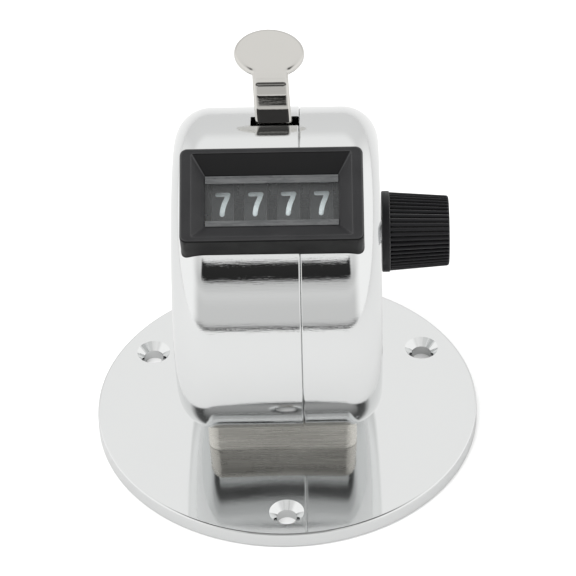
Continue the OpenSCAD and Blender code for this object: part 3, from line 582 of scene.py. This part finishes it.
def exact_normals(obj, normal_at):
    """Gives the mirror skin its exact normals, so that cut edges leave no shading marks."""
    mesh = obj.data
    mesh.set_sharp_from_angle(angle=math.radians(30))
    normals = [Vector(n.vector) for n in mesh.corner_normals]
    for polygon in mesh.polygons:
        want = normal_at(polygon.center)
        if want is None or want.dot(polygon.normal) < 0.9:
            continue
        for loop in polygon.loop_indices:
            exact = normal_at(mesh.vertices[mesh.loops[loop].vertex_index].co)
            if exact is not None:
                normals[loop] = exact
    mesh.normals_split_custom_set([tuple(n) for n in normals])


def window_cutter():
    """The opening that the window surround stands in, a little larger than the surround."""
    lo, hi = window_extent("window_surround")
    outline = rounded_rect(hi[0] - lo[0] + 0.1 * MM, SURROUND_H + 0.1 * MM, 1.0 * MM)
    return loft("cutter", [[window_point(x, v, u) for x, v in outline] for u in (12 * MM, 30 * MM)])


SLOT_LEFT = 2.94 * MM                 # from the lever's middle to the slot's left end
SLOT_FROM, SLOT_TO = 98.5, 106.3      # the slot's front and back edges, in degrees round the drum


def slot_cutter():
    """The lever's slot: open at the seam, and square at its left end."""
    left = LEVER_X - SLOT_LEFT
    a0, a1 = math.radians(SLOT_FROM), math.radians(SLOT_TO)
    corners = []
    for r in (DRUM_R - 3 * MM, DRUM_R + 3 * MM):
        for a in (a0, a1):
            corners.append((-r * math.cos(a), DRUM_Z + r * math.sin(a)))
    order = [corners[0], corners[1], corners[3], corners[2]]
    return loft("cutter", [[Vector((x, y, z)) for y, z in order] for x in (left, SEAM_X + 1 * MM)])


def screw_cutters():
    """Holes in the bottom of the shells for the two screws up through the pedestal."""
    return [hole_cutter(x, 0, 0, 9.4 * MM, SCREW_HOLE_R) for x in pedestal_screws_x()]


def shaft_cutter():
    """The hole in the right shell that the wheel shaft comes out through."""
    r = 2.1 * MM
    return lathe_x("cutter", [(DRUM_RIGHT - 2 * MM, r), (DRUM_RIGHT + 2 * MM, r)], (SHAFT.y, SHAFT.z), 48)


def build_shell(name, side, rim, r, node, material, *cutters):
    shell = lathe_x(name, shell_profile(side, rim, r), (0, DRUM_Z), 320, ring=True)
    cut(shell, *cutters)
    exact_normals(shell, lambda p: shell_normal(p, side, rim, r))
    dress(shell, "stand", material, "case_chrome", node)


def build_shells(material):
    build_shell("shell_left", DRUM_LEFT, SEAM_X - SEAM_GAP, DRUM_R, "case_left", material,
                window_cutter(), slot_cutter(), *screw_cutters())
    build_shell("shell_right", DRUM_RIGHT, SEAM_X + SEAM_GAP, RIGHT_R, "case_right", material,
                window_cutter(), shaft_cutter(), *screw_cutters())


def build_seam_band(material):
    """The band inside the left shell, seen at the bottom of the seam's groove."""
    r0, r1 = RIGHT_R - SHEET - 0.62 * MM, RIGHT_R - SHEET - 0.08 * MM
    x0, x1 = SEAM_X - 2 * MM, SEAM_X + 1.4 * MM
    band = lathe_x("seam_band", [(x0, r0), (x0, r1), (x1, r1), (x1, r0)], (0, DRUM_Z), 192, ring=True)
    cut(band, window_cutter(), slot_cutter(), *screw_cutters())
    soften(band)
    dress(band, "stand", material, "case_chrome", "case_left")


# ------------------------------------------------------------------ window

def build_surround(material):
    lo, hi = window_extent("window_surround")
    w = hi[0] - lo[0]
    h = SURROUND_H
    soft, lip = 0.32 * MM, 0.14 * MM
    front = SURROUND_FRONT
    # (width, height, corner radius, u), outside first, then over the rim and down inside
    stops = []
    stops.append((w, h, 0.95 * MM, SURROUND_FOOT))
    stops.append((w, h, 0.95 * MM, front - soft - 1.2 * MM))
    for k in range(6):
        a = math.radians(90 * k / 5)
        inset = soft * (1 - math.cos(a))
        corner = 0.95 * MM - inset * 0.8
        stops.append((w - 2 * inset, h - 2 * inset, corner, front - soft + soft * math.sin(a)))
    iw, ih = w - 2 * SIDE_RIM, h - 2 * END_RIM
    for grow, drop in ((lip, 0.0), (lip * 0.4, 0.02 * MM), (0.0, lip * 0.45), (-lip * 0.5, lip)):
        stops.append((iw + 2 * grow, ih + 2 * grow, 0.25 * MM, front - drop))
    ow, oh = OPENING
    stops.append((ow + 0.1 * MM, oh + 0.1 * MM, 0.2 * MM, front - BEVEL_DEPTH + 0.08 * MM))
    stops.append((ow, oh, 0.2 * MM, front - BEVEL_DEPTH))
    lens_w, lens_h = ow + 1.3 * MM, oh + 1.3 * MM
    inner_w, inner_h = w - 1.6 * MM, h - 1.6 * MM
    stops.append((ow, oh, 0.2 * MM, LENS_FRONT))
    stops.append((lens_w, lens_h, 0.3 * MM, LENS_FRONT))
    stops.append((lens_w, lens_h, 0.3 * MM, LENS_BACK))
    stops.append((inner_w, inner_h, 0.4 * MM, LENS_BACK))
    stops.append((inner_w, inner_h, 0.4 * MM, SURROUND_FOOT))
    loops = []
    for a, b, r, u in stops:
        drop = OPENING_DROP if a < lens_w + 0.1 * MM else 0.0
        loops.append([window_point(x, v - drop, u) for x, v in rounded_rect(a, b, r, 8)])
    surround = loft("window_frame", loops, ring=True)
    soften(surround, angle=24)
    dress(surround, "stand", material, "surround_black", "window_surround")


def rail(name, section, half_w, material):
    """A rail of the lens, from its section as (down the window from the opening's edge, out) pairs in mm."""
    loops = [[window_point(x, v, u * MM) for v, u in section]
             for x in (-half_w, half_w)]
    made = loft(name, loops)
    soften(made, angle=40)
    dress(made, "stand", material, "lens_clear", "window_lens")


def build_lens(clear, frosted):
    ow, oh = OPENING
    w, h = ow + 1.2 * MM, oh + 1.2 * MM
    pane = loft("lens_pane", [[window_point(x, v - OPENING_DROP, u) for x, v in rounded_rect(w, h, 0.3 * MM)]
                              for u in (LENS_BACK + 0.02 * MM, LENS_FRONT - 0.02 * MM)])
    soften(pane)
    dress(pane, "stand", clear, "lens_clear", "window_lens")
    half_w = ow / 2 - 0.05 * MM
    top = oh / 2 - OPENING_DROP - 0.05 * MM
    upper = [(0.0, 23.29), (0.0, 23.42), (0.30, 23.46), (0.36, 23.56), (0.44, 23.60), (1.02, 23.60),
             (1.10, 23.54), (1.10, 23.29)]
    rail("lens_rail_upper", [(top - d * MM, u) for d, u in upper], half_w, frosted)
    bottom = -oh / 2 - OPENING_DROP + 0.05 * MM
    lower = [(0.0, 23.29), (0.0, 23.50), (0.10, 23.57), (0.70, 23.58), (0.80, 23.50), (0.80, 23.29)]
    rail("lens_rail_lower", [(bottom + d * MM, u) for d, u in lower], half_w, frosted)


# ------------------------------------------------------------------ knob

def build_knob(material):
    """Fine vertical ribs between a plain flange and a softly rounded end."""
    lo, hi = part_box("reset_knob")
    length, top_r = hi.x - lo.x, (hi.z - lo.z) / 2
    body_r, tip_r = top_r - 0.17 * MM, top_r - 0.72 * MM
    flange, depth, ribs, per_rib = 1.05 * MM, 0.34 * MM, 48, 12
    stations = [(0.0, top_r - 0.15 * MM, 0), (0.06 * MM, top_r - 0.05 * MM, 0), (0.15 * MM, top_r, 0),
                (flange - 0.1 * MM, top_r, 0), (flange - 0.02 * MM, top_r - 0.03 * MM, 0),
                (flange, body_r + 0.02 * MM, 0.1), (flange + 0.04 * MM, body_r, 1)]
    steps = 14
    end = length - 0.35 * MM
    for k in range(1, steps + 1):
        t = k / steps
        x = flange + 0.04 * MM + (end - flange - 0.04 * MM) * t
        stations.append((x, body_r + (tip_r - body_r) * t, 1))
    for k in range(1, 6):
        a = math.radians(90 * k / 5)
        stations.append((end + 0.35 * MM * math.sin(a), tip_r - 0.35 * MM * (1 - math.cos(a)),
                         1 - k / 5))
    stations.append((length, tip_r - 0.8 * MM, 0))
    n = ribs * per_rib
    loops = []
    for x, r, share in stations:
        loop = []
        for k in range(n):
            a = TAU * k / n
            wave = 0.5 - 0.5 * math.cos(a * ribs)
            groove = depth * share * (1 - wave ** 0.6)
            loop.append(Vector((lo.x + x, SHAFT.y + (r - groove) * math.cos(a),
                                SHAFT.z + (r - groove) * math.sin(a))))
        loops.append(loop)
    knob = loft("knob", loops)
    soften(knob, angle=48)
    dress(knob, "reset_shaft", material, "knob_black", "reset_knob")
    knob.visible_glossy = False      # the real flange hides its own mirror image in the drum


# ------------------------------------------------------------------ thumb lever

STRIP_T = 0.9 * MM
NECK_W = 4.85 * MM
PAD_R = 4.76 * MM
ARM_ANGLE = -58
# Each leg is (length, bend after it in degrees, bend radius), from the foot to the pad.
STRIP_LEGS = ((7.2, -52, 1.2), (1.8, -13.5, 2), (1.15, -12.5, 1.6), (1.1, -35, 0.45), (0.6, 3, 0.8),
              (0.12, -5, 0.8), (0.94, -1.5, 1), (0.6, 0, 1))
# Rounding of the strip's edge, as (distance in from its outline, height off its middle plane) in mm.
STRIP_EDGE = ((0.30, -0.45), (0.10, -0.38), (0.0, -0.22), (0.0, 0.02), (0.04, 0.16), (0.14, 0.29),
              (0.32, 0.39), (0.55, 0.435), (0.78, 0.45))
# The strip stands a little askew: its top leans to the left, about the point where it bends back.
ASKEW_BACK, ASKEW_UP = 0.036, 0.043
ASKEW_AT = (5.3 * MM, 51.8 * MM)


class Strip:
    """The bent centre line of the lever's strip in the side view, as (y, z, heading) by distance."""

    def __init__(self):
        start = self.on_arm(6.0 * MM, 2.0 * MM + STRIP_T / 2)
        self.rows = [(0.0, start[0], start[1], ARM_ANGLE + 180.0)]
        for length, bend, radius in STRIP_LEGS:
            self.go(length * MM)
            self.turn(bend, radius * MM)

    @staticmethod
    def on_arm(a, b):
        t = math.radians(ARM_ANGLE)
        return (LEVER_PIVOT.y + a * math.cos(t) - b * math.sin(t),
                LEVER_PIVOT.z + a * math.sin(t) + b * math.cos(t))

    def go(self, length):
        s, y, z, heading = self.rows[-1]
        a = math.radians(heading)
        self.rows.append((s + length, y + length * math.cos(a), z + length * math.sin(a), heading))

    def turn(self, bend, radius):
        if not bend:
            return
        steps = max(2, round(abs(bend) / 2))
        chord = 2 * radius * math.sin(math.radians(abs(bend) / steps) / 2)
        for _ in range(steps):
            s, y, z, heading = self.rows[-1]
            a = math.radians(heading + bend / steps / 2)
            self.rows.append((s + chord, y + chord * math.cos(a), z + chord * math.sin(a),
                              heading + bend / steps))

    @property
    def length(self):
        return self.rows[-1][0]

    def place(self, s, across, out):
        """Row-frame point s along the strip, across its width, and out from its middle plane."""
        rows = self.rows
        i = 0
        while i < len(rows) - 2 and rows[i + 1][0] < s:
            i += 1
        s0, y0, z0, h0 = rows[i]
        s1, y1, z1, h1 = rows[i + 1]
        t = (s - s0) / (s1 - s0) if s1 > s0 else 0.0
        heading = math.radians(h0 + (h1 - h0) * min(max(t, 0.0), 1.0))
        y, z = y0 + (y1 - y0) * t, z0 + (z1 - z0) * t
        lean = ASKEW_BACK * (y - ASKEW_AT[0]) + ASKEW_UP * (z - ASKEW_AT[1])
        return Vector((LEVER_X + across - lean, y - out * math.sin(heading), z + out * math.cos(heading)))


def lever_outline(strip):
    """Half outline (s, half width), from the foot, up the neck, round the pad to its tip."""
    half = NECK_W / 2
    centre = strip.length + PAD_R - 0.9 * MM
    fillet = 0.5 * MM
    # The fillet touches the neck's side and the pad's rim.
    cx = half + fillet
    cs = centre - math.sqrt((PAD_R + fillet) ** 2 - cx ** 2)
    meet = math.atan2(half + fillet, centre - cs)
    corner = 1.0 * MM
    points = arc(corner, half - corner, corner, 180, 90, 6)
    steps = 40
    for k in range(1, steps):
        points.append((corner + (cs - corner) * k / steps, half))
    for k in range(7):
        a = (math.pi / 2 - meet) * k / 6
        points.append((cs + fillet * math.sin(a), cx - fillet * math.cos(a)))
    first = math.pi - math.atan2(cx, centre - cs)
    for k in range(1, 49):
        a = first * (1 - k / 48)
        points.append((centre + PAD_R * math.cos(a), PAD_R * math.sin(a)))
    return points


def inset(outline, by):
    """A closed anticlockwise outline moved in by a distance."""
    moved = []
    for k, (x, y) in enumerate(outline):
        before, after = outline[k - 1], outline[(k + 1) % len(outline)]
        along = Vector((after[0] - before[0], after[1] - before[1])).normalized()
        moved.append((x - along.y * by, y + along.x * by))
    return moved


def build_lever(material):
    strip = Strip()
    half = lever_outline(strip)
    outline = [(s, -w) for s, w in half] + [(s, w) for s, w in reversed(half[:-1])]
    lever = loft("thumb_piece", [[Vector((s, w, height * MM)) for s, w in inset(outline, by * MM)]
                                 for by, height in STRIP_EDGE])
    bm = bmesh.new()
    bm.from_mesh(lever.data)
    cuts = 150
    for k in range(1, cuts):
        at = strip.length * 1.02 * k / cuts
        geometry = bm.verts[:] + bm.edges[:] + bm.faces[:]
        bmesh.ops.bisect_plane(bm, geom=geometry, plane_co=(at, 0, 0), plane_no=(1, 0, 0), dist=1e-7)
    for vertex in bm.verts:
        vertex.co = strip.place(vertex.co.x, vertex.co.y, vertex.co.z)
    bmesh.ops.recalc_face_normals(bm, faces=bm.faces)
    bm.to_mesh(lever.data)
    bm.free()
    soften(lever, angle=50)
    dress(lever, "lever", material, "lever_nickel", "thumb_lever")


# ------------------------------------------------------------------ numerals

FIGURE_H, FIGURE_W, STROKE = 3.6 * MM, 2.05 * MM, 0.66 * MM
FIGURE_CUT = 0.24 * MM         # spacing of the cuts that let a figure bend round the rim
FIGURE_STEP = 36               # degrees from one figure to the next
WHEELS = ("units", "tens", "hundreds", "thousands")
READING_ANGLE = 114.2          # where the window looks at the wheels, in the side view
SHOWN = 7                    # the figure every wheel shows at rest


def figure_strokes(digit):
    """Centre lines of a figure's strokes, as point lists. A closed stroke repeats its first point."""
    h, w = (FIGURE_H - STROKE) / 2, (FIGURE_W - STROKE) / 2
    if digit == 0:
        body = arc(0, h - w, w, 0, 180, 14) + arc(0, w - h, w, 180, 360, 14)
        return [body + [body[0]]]
    if digit == 1:
        return [[(-0.8 * w, 0.5 * h), (-0.35 * w, 0.66 * h)] + [(0.1 * w, h), (0.1 * w, -h)]]
    if digit == 2:
        r = w
        return [arc(0, h - r, r, 165, -35, 14) + [(-w, -h), (w, -h)]]
    if digit == 3:
        r = h / 2
        upper = [(x * w / r, y) for x, y in arc(0, h - r, r, 150, -90, 14)]
        lower = [(x * w / r, y) for x, y in arc(0, r - h, r, 90, -150, 14)]
        return [upper + lower[1:]]
    if digit == 4:
        return [[(w, -0.4 * h), (-w, -0.4 * h), (0.45 * w, h), (0.45 * w, -h)]]
    if digit == 5:
        r = 0.62 * h
        bowl = [(x * w / r, y) for x, y in arc(0, r - h, r, 118, -145, 16)]
        return [[(0.9 * w, h), (-0.75 * w, h), (-0.9 * w, 0.12 * h)] + bowl[1:]]
    if digit in (6, 9):
        r = 0.56 * h
        ring = [(x * w / r, y) for x, y in arc(0, r - h, r, 180, -180, 22)]
        spine = [(0.55 * w, h), (-0.25 * w, 0.75 * h), (-0.8 * w, 0.2 * h)]
        figure = spine + ring
        if digit == 9:
            figure = [(-x, -y) for x, y in figure]
        return [figure]
    if digit == 7:
        return [[(-w, h), (w, h), (0.72 * w, 0.5 * h), (0.3 * w, 0.0), (0.02 * w, -0.5 * h), (-0.12 * w, -h)]]
    r = h / 2
    top = [(x * w * 0.88 / r, y) for x, y in arc(0, h - r, r, -90, 270, 20)]
    low = [(x * w / r, y) for x, y in arc(0, r - h, r, 90, 450, 20)]
    return [top, low]


def stroke_outlines(points):
    """Outlines of the round-ended pieces that make up one stroke."""
    r = STROKE / 2
    pieces = []
    path = [Vector(p) for p in points]
    for i in range(len(path) - 1):
        a, b = path[i], path[i + 1]
        along = (b - a).normalized()
        base = math.degrees(math.atan2(along.y, along.x))
        pieces.append(arc(b.x, b.y, r, base - 90, base + 90, 8) + arc(a.x, a.y, r, base + 90, base + 270, 8))
    return pieces


def figure_mesh(digit, thickness):
    """A figure's closed mesh: the union of its strokes' capsules."""
    first = None
    for stroke in figure_strokes(digit):
        for outline in stroke_outlines(stroke):
            piece = loft("capsule", [[Vector((x, y, z)) for x, y in outline] for z in (0, thickness)])
            if first is None:
                first = piece
                continue
            join = first.modifiers.new("join", "BOOLEAN")
            join.operation = "UNION"
            join.solver = "EXACT"
            join.object = piece
            bake(first)
            bpy.data.objects.remove(piece)
    mesh = first.data
    bpy.data.objects.remove(first)
    return mesh


def build_numerals(ink):
    """Ten figures round each wheel's rim, standing 0.03 mm proud of it."""
    thickness, skin = 0.05 * MM, 0.02 * MM
    meshes = [figure_mesh(digit, thickness) for digit in range(10)]
    for wheel in WHEELS:
        lo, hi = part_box(wheel + "_wheel")
        rim_r = (hi.z - lo.z) / 2
        rim_x = lo.x + 1.5 * MM
        bm = bmesh.new()
        for digit, mesh in enumerate(meshes):
            part = bmesh.new()
            part.from_mesh(mesh)
            for k in range(-7, 8):
                geometry = part.verts[:] + part.edges[:] + part.faces[:]
                bmesh.ops.bisect_plane(part, geom=geometry, plane_co=(0, k * FIGURE_CUT, 0),
                                       plane_no=(0, 1, 0), dist=1e-8)
            centre = math.radians(READING_ANGLE + FIGURE_STEP * (digit - SHOWN))
            for vertex in part.verts:
                angle = centre - vertex.co.y / rim_r
                r = rim_r - skin + vertex.co.z
                vertex.co = Vector((rim_x + vertex.co.x, SHAFT.y + r * math.cos(angle),
                                    SHAFT.z + r * math.sin(angle)))
            scratch = bpy.data.meshes.new("scratch")
            part.to_mesh(scratch)
            part.free()
            bm.from_mesh(scratch)
            bpy.data.meshes.remove(scratch)
        bmesh.ops.recalc_face_normals(bm, faces=bm.faces)
        mesh = bpy.data.meshes.new("numerals_" + wheel)
        bm.to_mesh(mesh)
        bm.free()
        numerals = add_object("numerals_" + wheel, mesh)
        dress(numerals, wheel, ink, "wheel_black")
    for mesh in meshes:
        bpy.data.meshes.remove(mesh)


# ------------------------------------------------------------------ the CAD nodes that stay

def dress_cad_nodes(materials):
    """Every CAD node still shown gets softened edges and its own finish."""
    for part in frame["record"]["subparts"]:
        node = frame["nodes"][part["node"]]
        if node.hide_render:
            continue
        node.data.materials.clear()
        node.data.materials.append(materials[part["material_slot"]])
        small = min(Vector(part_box(part["node"])[1]) - Vector(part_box(part["node"])[0]))
        soften(node, min(0.08 * MM, small * 0.1), 40)


# ------------------------------------------------------------------ studio

CAMERA_LENS = 190.4
CAMERA_AIM = Vector((0.6147, 0.0, 23.551)) * MM
CAMERA_DISTANCE = 421.14 * MM
CAMERA_ELEVATION, CAMERA_AZIMUTH, CAMERA_ROLL = (math.radians(a) for a in (39.976, 1.2846, 1.7473))


def build_camera():
    e, a, roll = CAMERA_ELEVATION, CAMERA_AZIMUTH, CAMERA_ROLL
    back = Vector((math.sin(a) * math.cos(e), -math.cos(a) * math.cos(e), math.sin(e)))
    level = Vector((math.cos(a), math.sin(a), 0))
    rise = back.cross(level)
    right = level * math.cos(roll) - rise * math.sin(roll)
    up = rise * math.cos(roll) + level * math.sin(roll)
    data = bpy.data.cameras.new("camera")
    data.lens = CAMERA_LENS
    data.sensor_width = 36
    data.clip_start = 0.01
    data.clip_end = 50
    camera = bpy.data.objects.new("camera", data)
    bpy.context.scene.collection.objects.link(camera)
    turn = Matrix((right, up, back)).transposed().to_4x4()
    camera.matrix_world = Matrix.Translation(CAMERA_AIM + back * CAMERA_DISTANCE) @ turn
    bpy.context.scene.camera = camera


def floor_material(name, value, mirrored):
    """Pale paper. In mirror images it shows at the given share of its brightness."""
    g = Graph(name)
    fleck = g.noise(60.0, 2.0)
    tone = g.tint(fleck, (value * 0.985,) * 3, (value,) * 3)
    seen = g.node("ShaderNodeLightPath").outputs["Is Glossy Ray"]
    shade = g.node("ShaderNodeMix", {"Factor": seen}, data_type="RGBA")
    g.tree.links.new(tone, shade.inputs[6])
    shade.inputs[7].default_value = (value * mirrored,) * 3 + (1,)
    g.surface(Base_Color=shade.outputs[2], Roughness=0.6, Specular_IOR_Level=0.15)
    return g.material


def sheet(name, x0, x1, y0, y1, z, material):
    corners = [Vector((x, y, z)) for x, y in ((x0, y0), (x1, y0), (x1, y1), (x0, y1))]
    obj = mesh_object(name, corners, [(0, 1, 2, 3)], smooth=False)
    obj.data.materials.append(material)
    return obj


TABLE_FRONT = -345 * MM      # where the table ends, towards the camera
TABLE_MIRRORED = 0.69        # brightness of the table in mirror images, against its own


def build_floor():
    """A pale table with a front edge that the drum mirrors, and a pale ground that only the camera sees."""
    sheet("table", -1.5, 1.5, TABLE_FRONT, 2.0, 0.0, floor_material("table_white", 0.93, TABLE_MIRRORED))
    far = sheet("ground", -8, 8, -8, 8, -0.6 * MM, floor_material("ground_white", 0.93, 1.0))
    for ray in ("visible_glossy", "visible_diffuse", "visible_shadow", "visible_transmission"):
        setattr(far, ray, False)


BRIGHTEST = 2.0                       # the top of the brightness ramps
WALLS_SEEN = 1.18                     # brightness of the walls to the camera and to plain surfaces
WALLS_MIRRORED = 0.78                 # and, times the values below, in mirrors
# Brightness of the walls in mirrors, as (elevation in degrees, brightness).
FRONT_WALL = ((-90, 0.2), (-6.2, 0.12), (-4.6, 0.10), (-2.8, 0.66), (0, 0.88), (12, 0.90), (20, 1.0),
              (28, 0.78), (44, 1.1), (46, 1.25), (49, 1.2), (51, 0.88), (57, 0.85), (60, 0.12),
              (73, 0.09), (76, 0.60), (85, 0.60), (88, 0.10), (90, 0.05))
BACK_WALL = ((-90, 0.95), (-1, 0.99), (28, 1.06), (36, 1.28), (46, 1.28), (58, 1.2), (66, 0.15), (90, 0.05))
SIDE_WALL = 1.42
CAMERA_SIDE = (29.5, 43.0, 25.0)      # lowest and highest elevation and half width of the dark camera side
CAMERA_SIDE_DIMMED = 0.965            # the share of light missing there


def build_world():
    """White studio walls. Mirror rays see the gap past the table, the dark camera side, and the walls."""
    world = bpy.data.worlds.new("studio")
    bpy.context.scene.world = world
    world.use_nodes = True
    tree = world.node_tree
    tree.nodes.clear()

    def node(kind, inputs=None, **settings):
        made = tree.nodes.new(kind)
        for key, value in settings.items():
            setattr(made, key, value)
        for key, value in (inputs or {}).items():
            if isinstance(value, bpy.types.NodeSocket):
                tree.links.new(value, made.inputs[key])
            else:
                made.inputs[key].default_value = value
        return made

    def maths(kind, a, b=0.0):
        return node("ShaderNodeMath", {0: a, 1: b}, operation=kind).outputs[0]

    def step(value, start, end, low=0.0, high=1.0):
        return node("ShaderNodeMapRange", {"Value": value, "From Min": start, "From Max": end, "To Min": low,
                                           "To Max": high}, interpolation_type="SMOOTHSTEP").outputs[0]

    def ramp(value, stops):
        """Brightness by elevation, from (degrees, brightness) stops."""
        made = node("ShaderNodeValToRGB", {"Fac": step_linear(value)})
        elements = made.color_ramp.elements
        while len(elements) > 1:
            elements.remove(elements[-1])
        for i, (degrees, level) in enumerate(stops):
            place = (degrees + 90) / 180
            element = elements[0] if i == 0 else elements.new(place)
            element.position = place
            element.color = (level / BRIGHTEST,) * 3 + (1,)
        return maths("MULTIPLY", made.outputs[0], BRIGHTEST)

    def step_linear(value):
        return node("ShaderNodeMapRange", {"Value": value, "From Min": -90.0, "From Max": 90.0}).outputs[0]

    direction = node("ShaderNodeTexCoord").outputs["Generated"]
    split = node("ShaderNodeSeparateXYZ", {0: direction})
    x, y, z = split.outputs
    elevation = maths("MULTIPLY", maths("ARCSINE", z), 180 / math.pi)
    azimuth = maths("MULTIPLY", maths("ARCTAN2", x, maths("MULTIPLY", y, -1.0)), 180 / math.pi)

    front = ramp(elevation, FRONT_WALL)
    back = ramp(elevation, BACK_WALL)
    behind = step(y, -0.25, 0.25)
    walls = node("ShaderNodeMix", {"Factor": behind}, data_type="FLOAT")
    tree.links.new(front, walls.inputs[2])
    tree.links.new(back, walls.inputs[3])
    side = node("ShaderNodeMix", {"Factor": step(maths("ABSOLUTE", x), 0.45, 0.8)}, data_type="FLOAT")
    tree.links.new(walls.outputs[0], side.inputs[2])
    side.inputs[3].default_value = SIDE_WALL
    low, high, half = CAMERA_SIDE
    band = maths("MULTIPLY", step(elevation, low - 1.2, low + 1.2),
                 step(elevation, high - 0.8, high + 0.8, 1.0, 0.0))
    dark = maths("MULTIPLY", band, step(maths("ABSOLUTE", azimuth), half - 3, half + 3, 1.0, 0.0))
    share = maths("SUBTRACT", 1.0, maths("MULTIPLY", dark, CAMERA_SIDE_DIMMED))
    level = maths("MULTIPLY", side.outputs[0], share)
    level = maths("MULTIPLY", level, WALLS_MIRRORED)

    path = node("ShaderNodeLightPath")
    mirrored = node("ShaderNodeMix", {"Factor": path.outputs["Is Glossy Ray"]}, data_type="FLOAT")
    mirrored.inputs[2].default_value = WALLS_SEEN
    tree.links.new(level, mirrored.inputs[3])
    background = node("ShaderNodeBackground",
                      {"Color": (1.0, 1.0, 0.995, 1), "Strength": mirrored.outputs[0]})
    out = node("ShaderNodeOutputWorld")
    tree.links.new(background.outputs[0], out.inputs[0])


def build_lights():
    data = bpy.data.lights.new("overhead", "AREA")
    data.shape = "RECTANGLE"
    data.size, data.size_y = 0.9, 0.6
    data.energy = 6.0
    light = bpy.data.objects.new("overhead", data)
    light.location = (-0.3, -0.35, 1.0)
    light.rotation_euler = (Vector((0, 0, 0)) - light.location).to_track_quat("-Z", "Y").to_euler()
    light.visible_glossy = False
    bpy.context.scene.collection.objects.link(light)


# ------------------------------------------------------------------ the whole scene

def build_materials():
    return {
        "plate_chrome": chrome("plate_chrome", wave_mm=0.002, wave_size=14.0, rough=(0.05, 0.09),
                               dome_mm=0.7),
        "case_chrome": chrome("case_chrome", wave_mm=0.004, wave_size=10.0, streak_mm=0.005),
        "lever_nickel": chrome("lever_nickel", (0.648, 0.635, 0.607), 0.002, 3.0, (0.02, 0.06), 0.003),
        "pedestal_nickel": brushed("pedestal_nickel", (0.80, 0.775, 0.72), (60, 1, 1), 0.26, mirrored=0.66),
        # Painted shade: the surround is darker on faces that look down, the knob darker in its grooves.
        "surround_black": moulded("surround_black", (0.019, 0.019, 0.0205), 0.40, sheen=0.75, under=0.14),
        "knob_black": moulded("knob_black", (0.0075, 0.0075, 0.009), 0.40, sheen=0.27, groove_mm=0.5),
        "wheel_black": moulded("wheel_black", (0.035, 0.036, 0.037), 0.5),
        "lens_clear": clear_plastic("lens_clear"),
        "lens_rails": frosted_plastic("lens_rails"),
        "figure_ink": printed_ink("figure_ink"),
        "frame_steel": brushed("frame_steel", (0.52, 0.53, 0.54), (1, 30, 30), 0.36),
        "bar_steel": brushed("bar_steel", (0.58, 0.59, 0.60), (1, 20, 20), 0.28),
        "screw_steel": brushed("screw_steel", (0.50, 0.51, 0.52), (1, 1, 1), 0.32),
        "spring_steel": brushed("spring_steel", (0.42, 0.43, 0.45), (1, 1, 1), 0.3),
        "brass": brushed("brass", (0.72, 0.52, 0.24), (1, 20, 20), 0.26),
    }


def build():
    materials = build_materials()
    build_plate(materials["plate_chrome"])
    build_pedestal(materials["pedestal_nickel"])
    build_shells(materials["case_chrome"])
    build_seam_band(materials["case_chrome"])
    build_surround(materials["surround_black"])
    build_lens(materials["lens_clear"], materials["lens_rails"])
    build_knob(materials["knob_black"])
    build_lever(materials["lever_nickel"])
    build_numerals(materials["figure_ink"])
    dress_cad_nodes(materials)
    build_camera()
    build_floor()
    build_world()
    build_lights()
    bpy.context.scene.view_settings.view_transform = "Standard"


build()
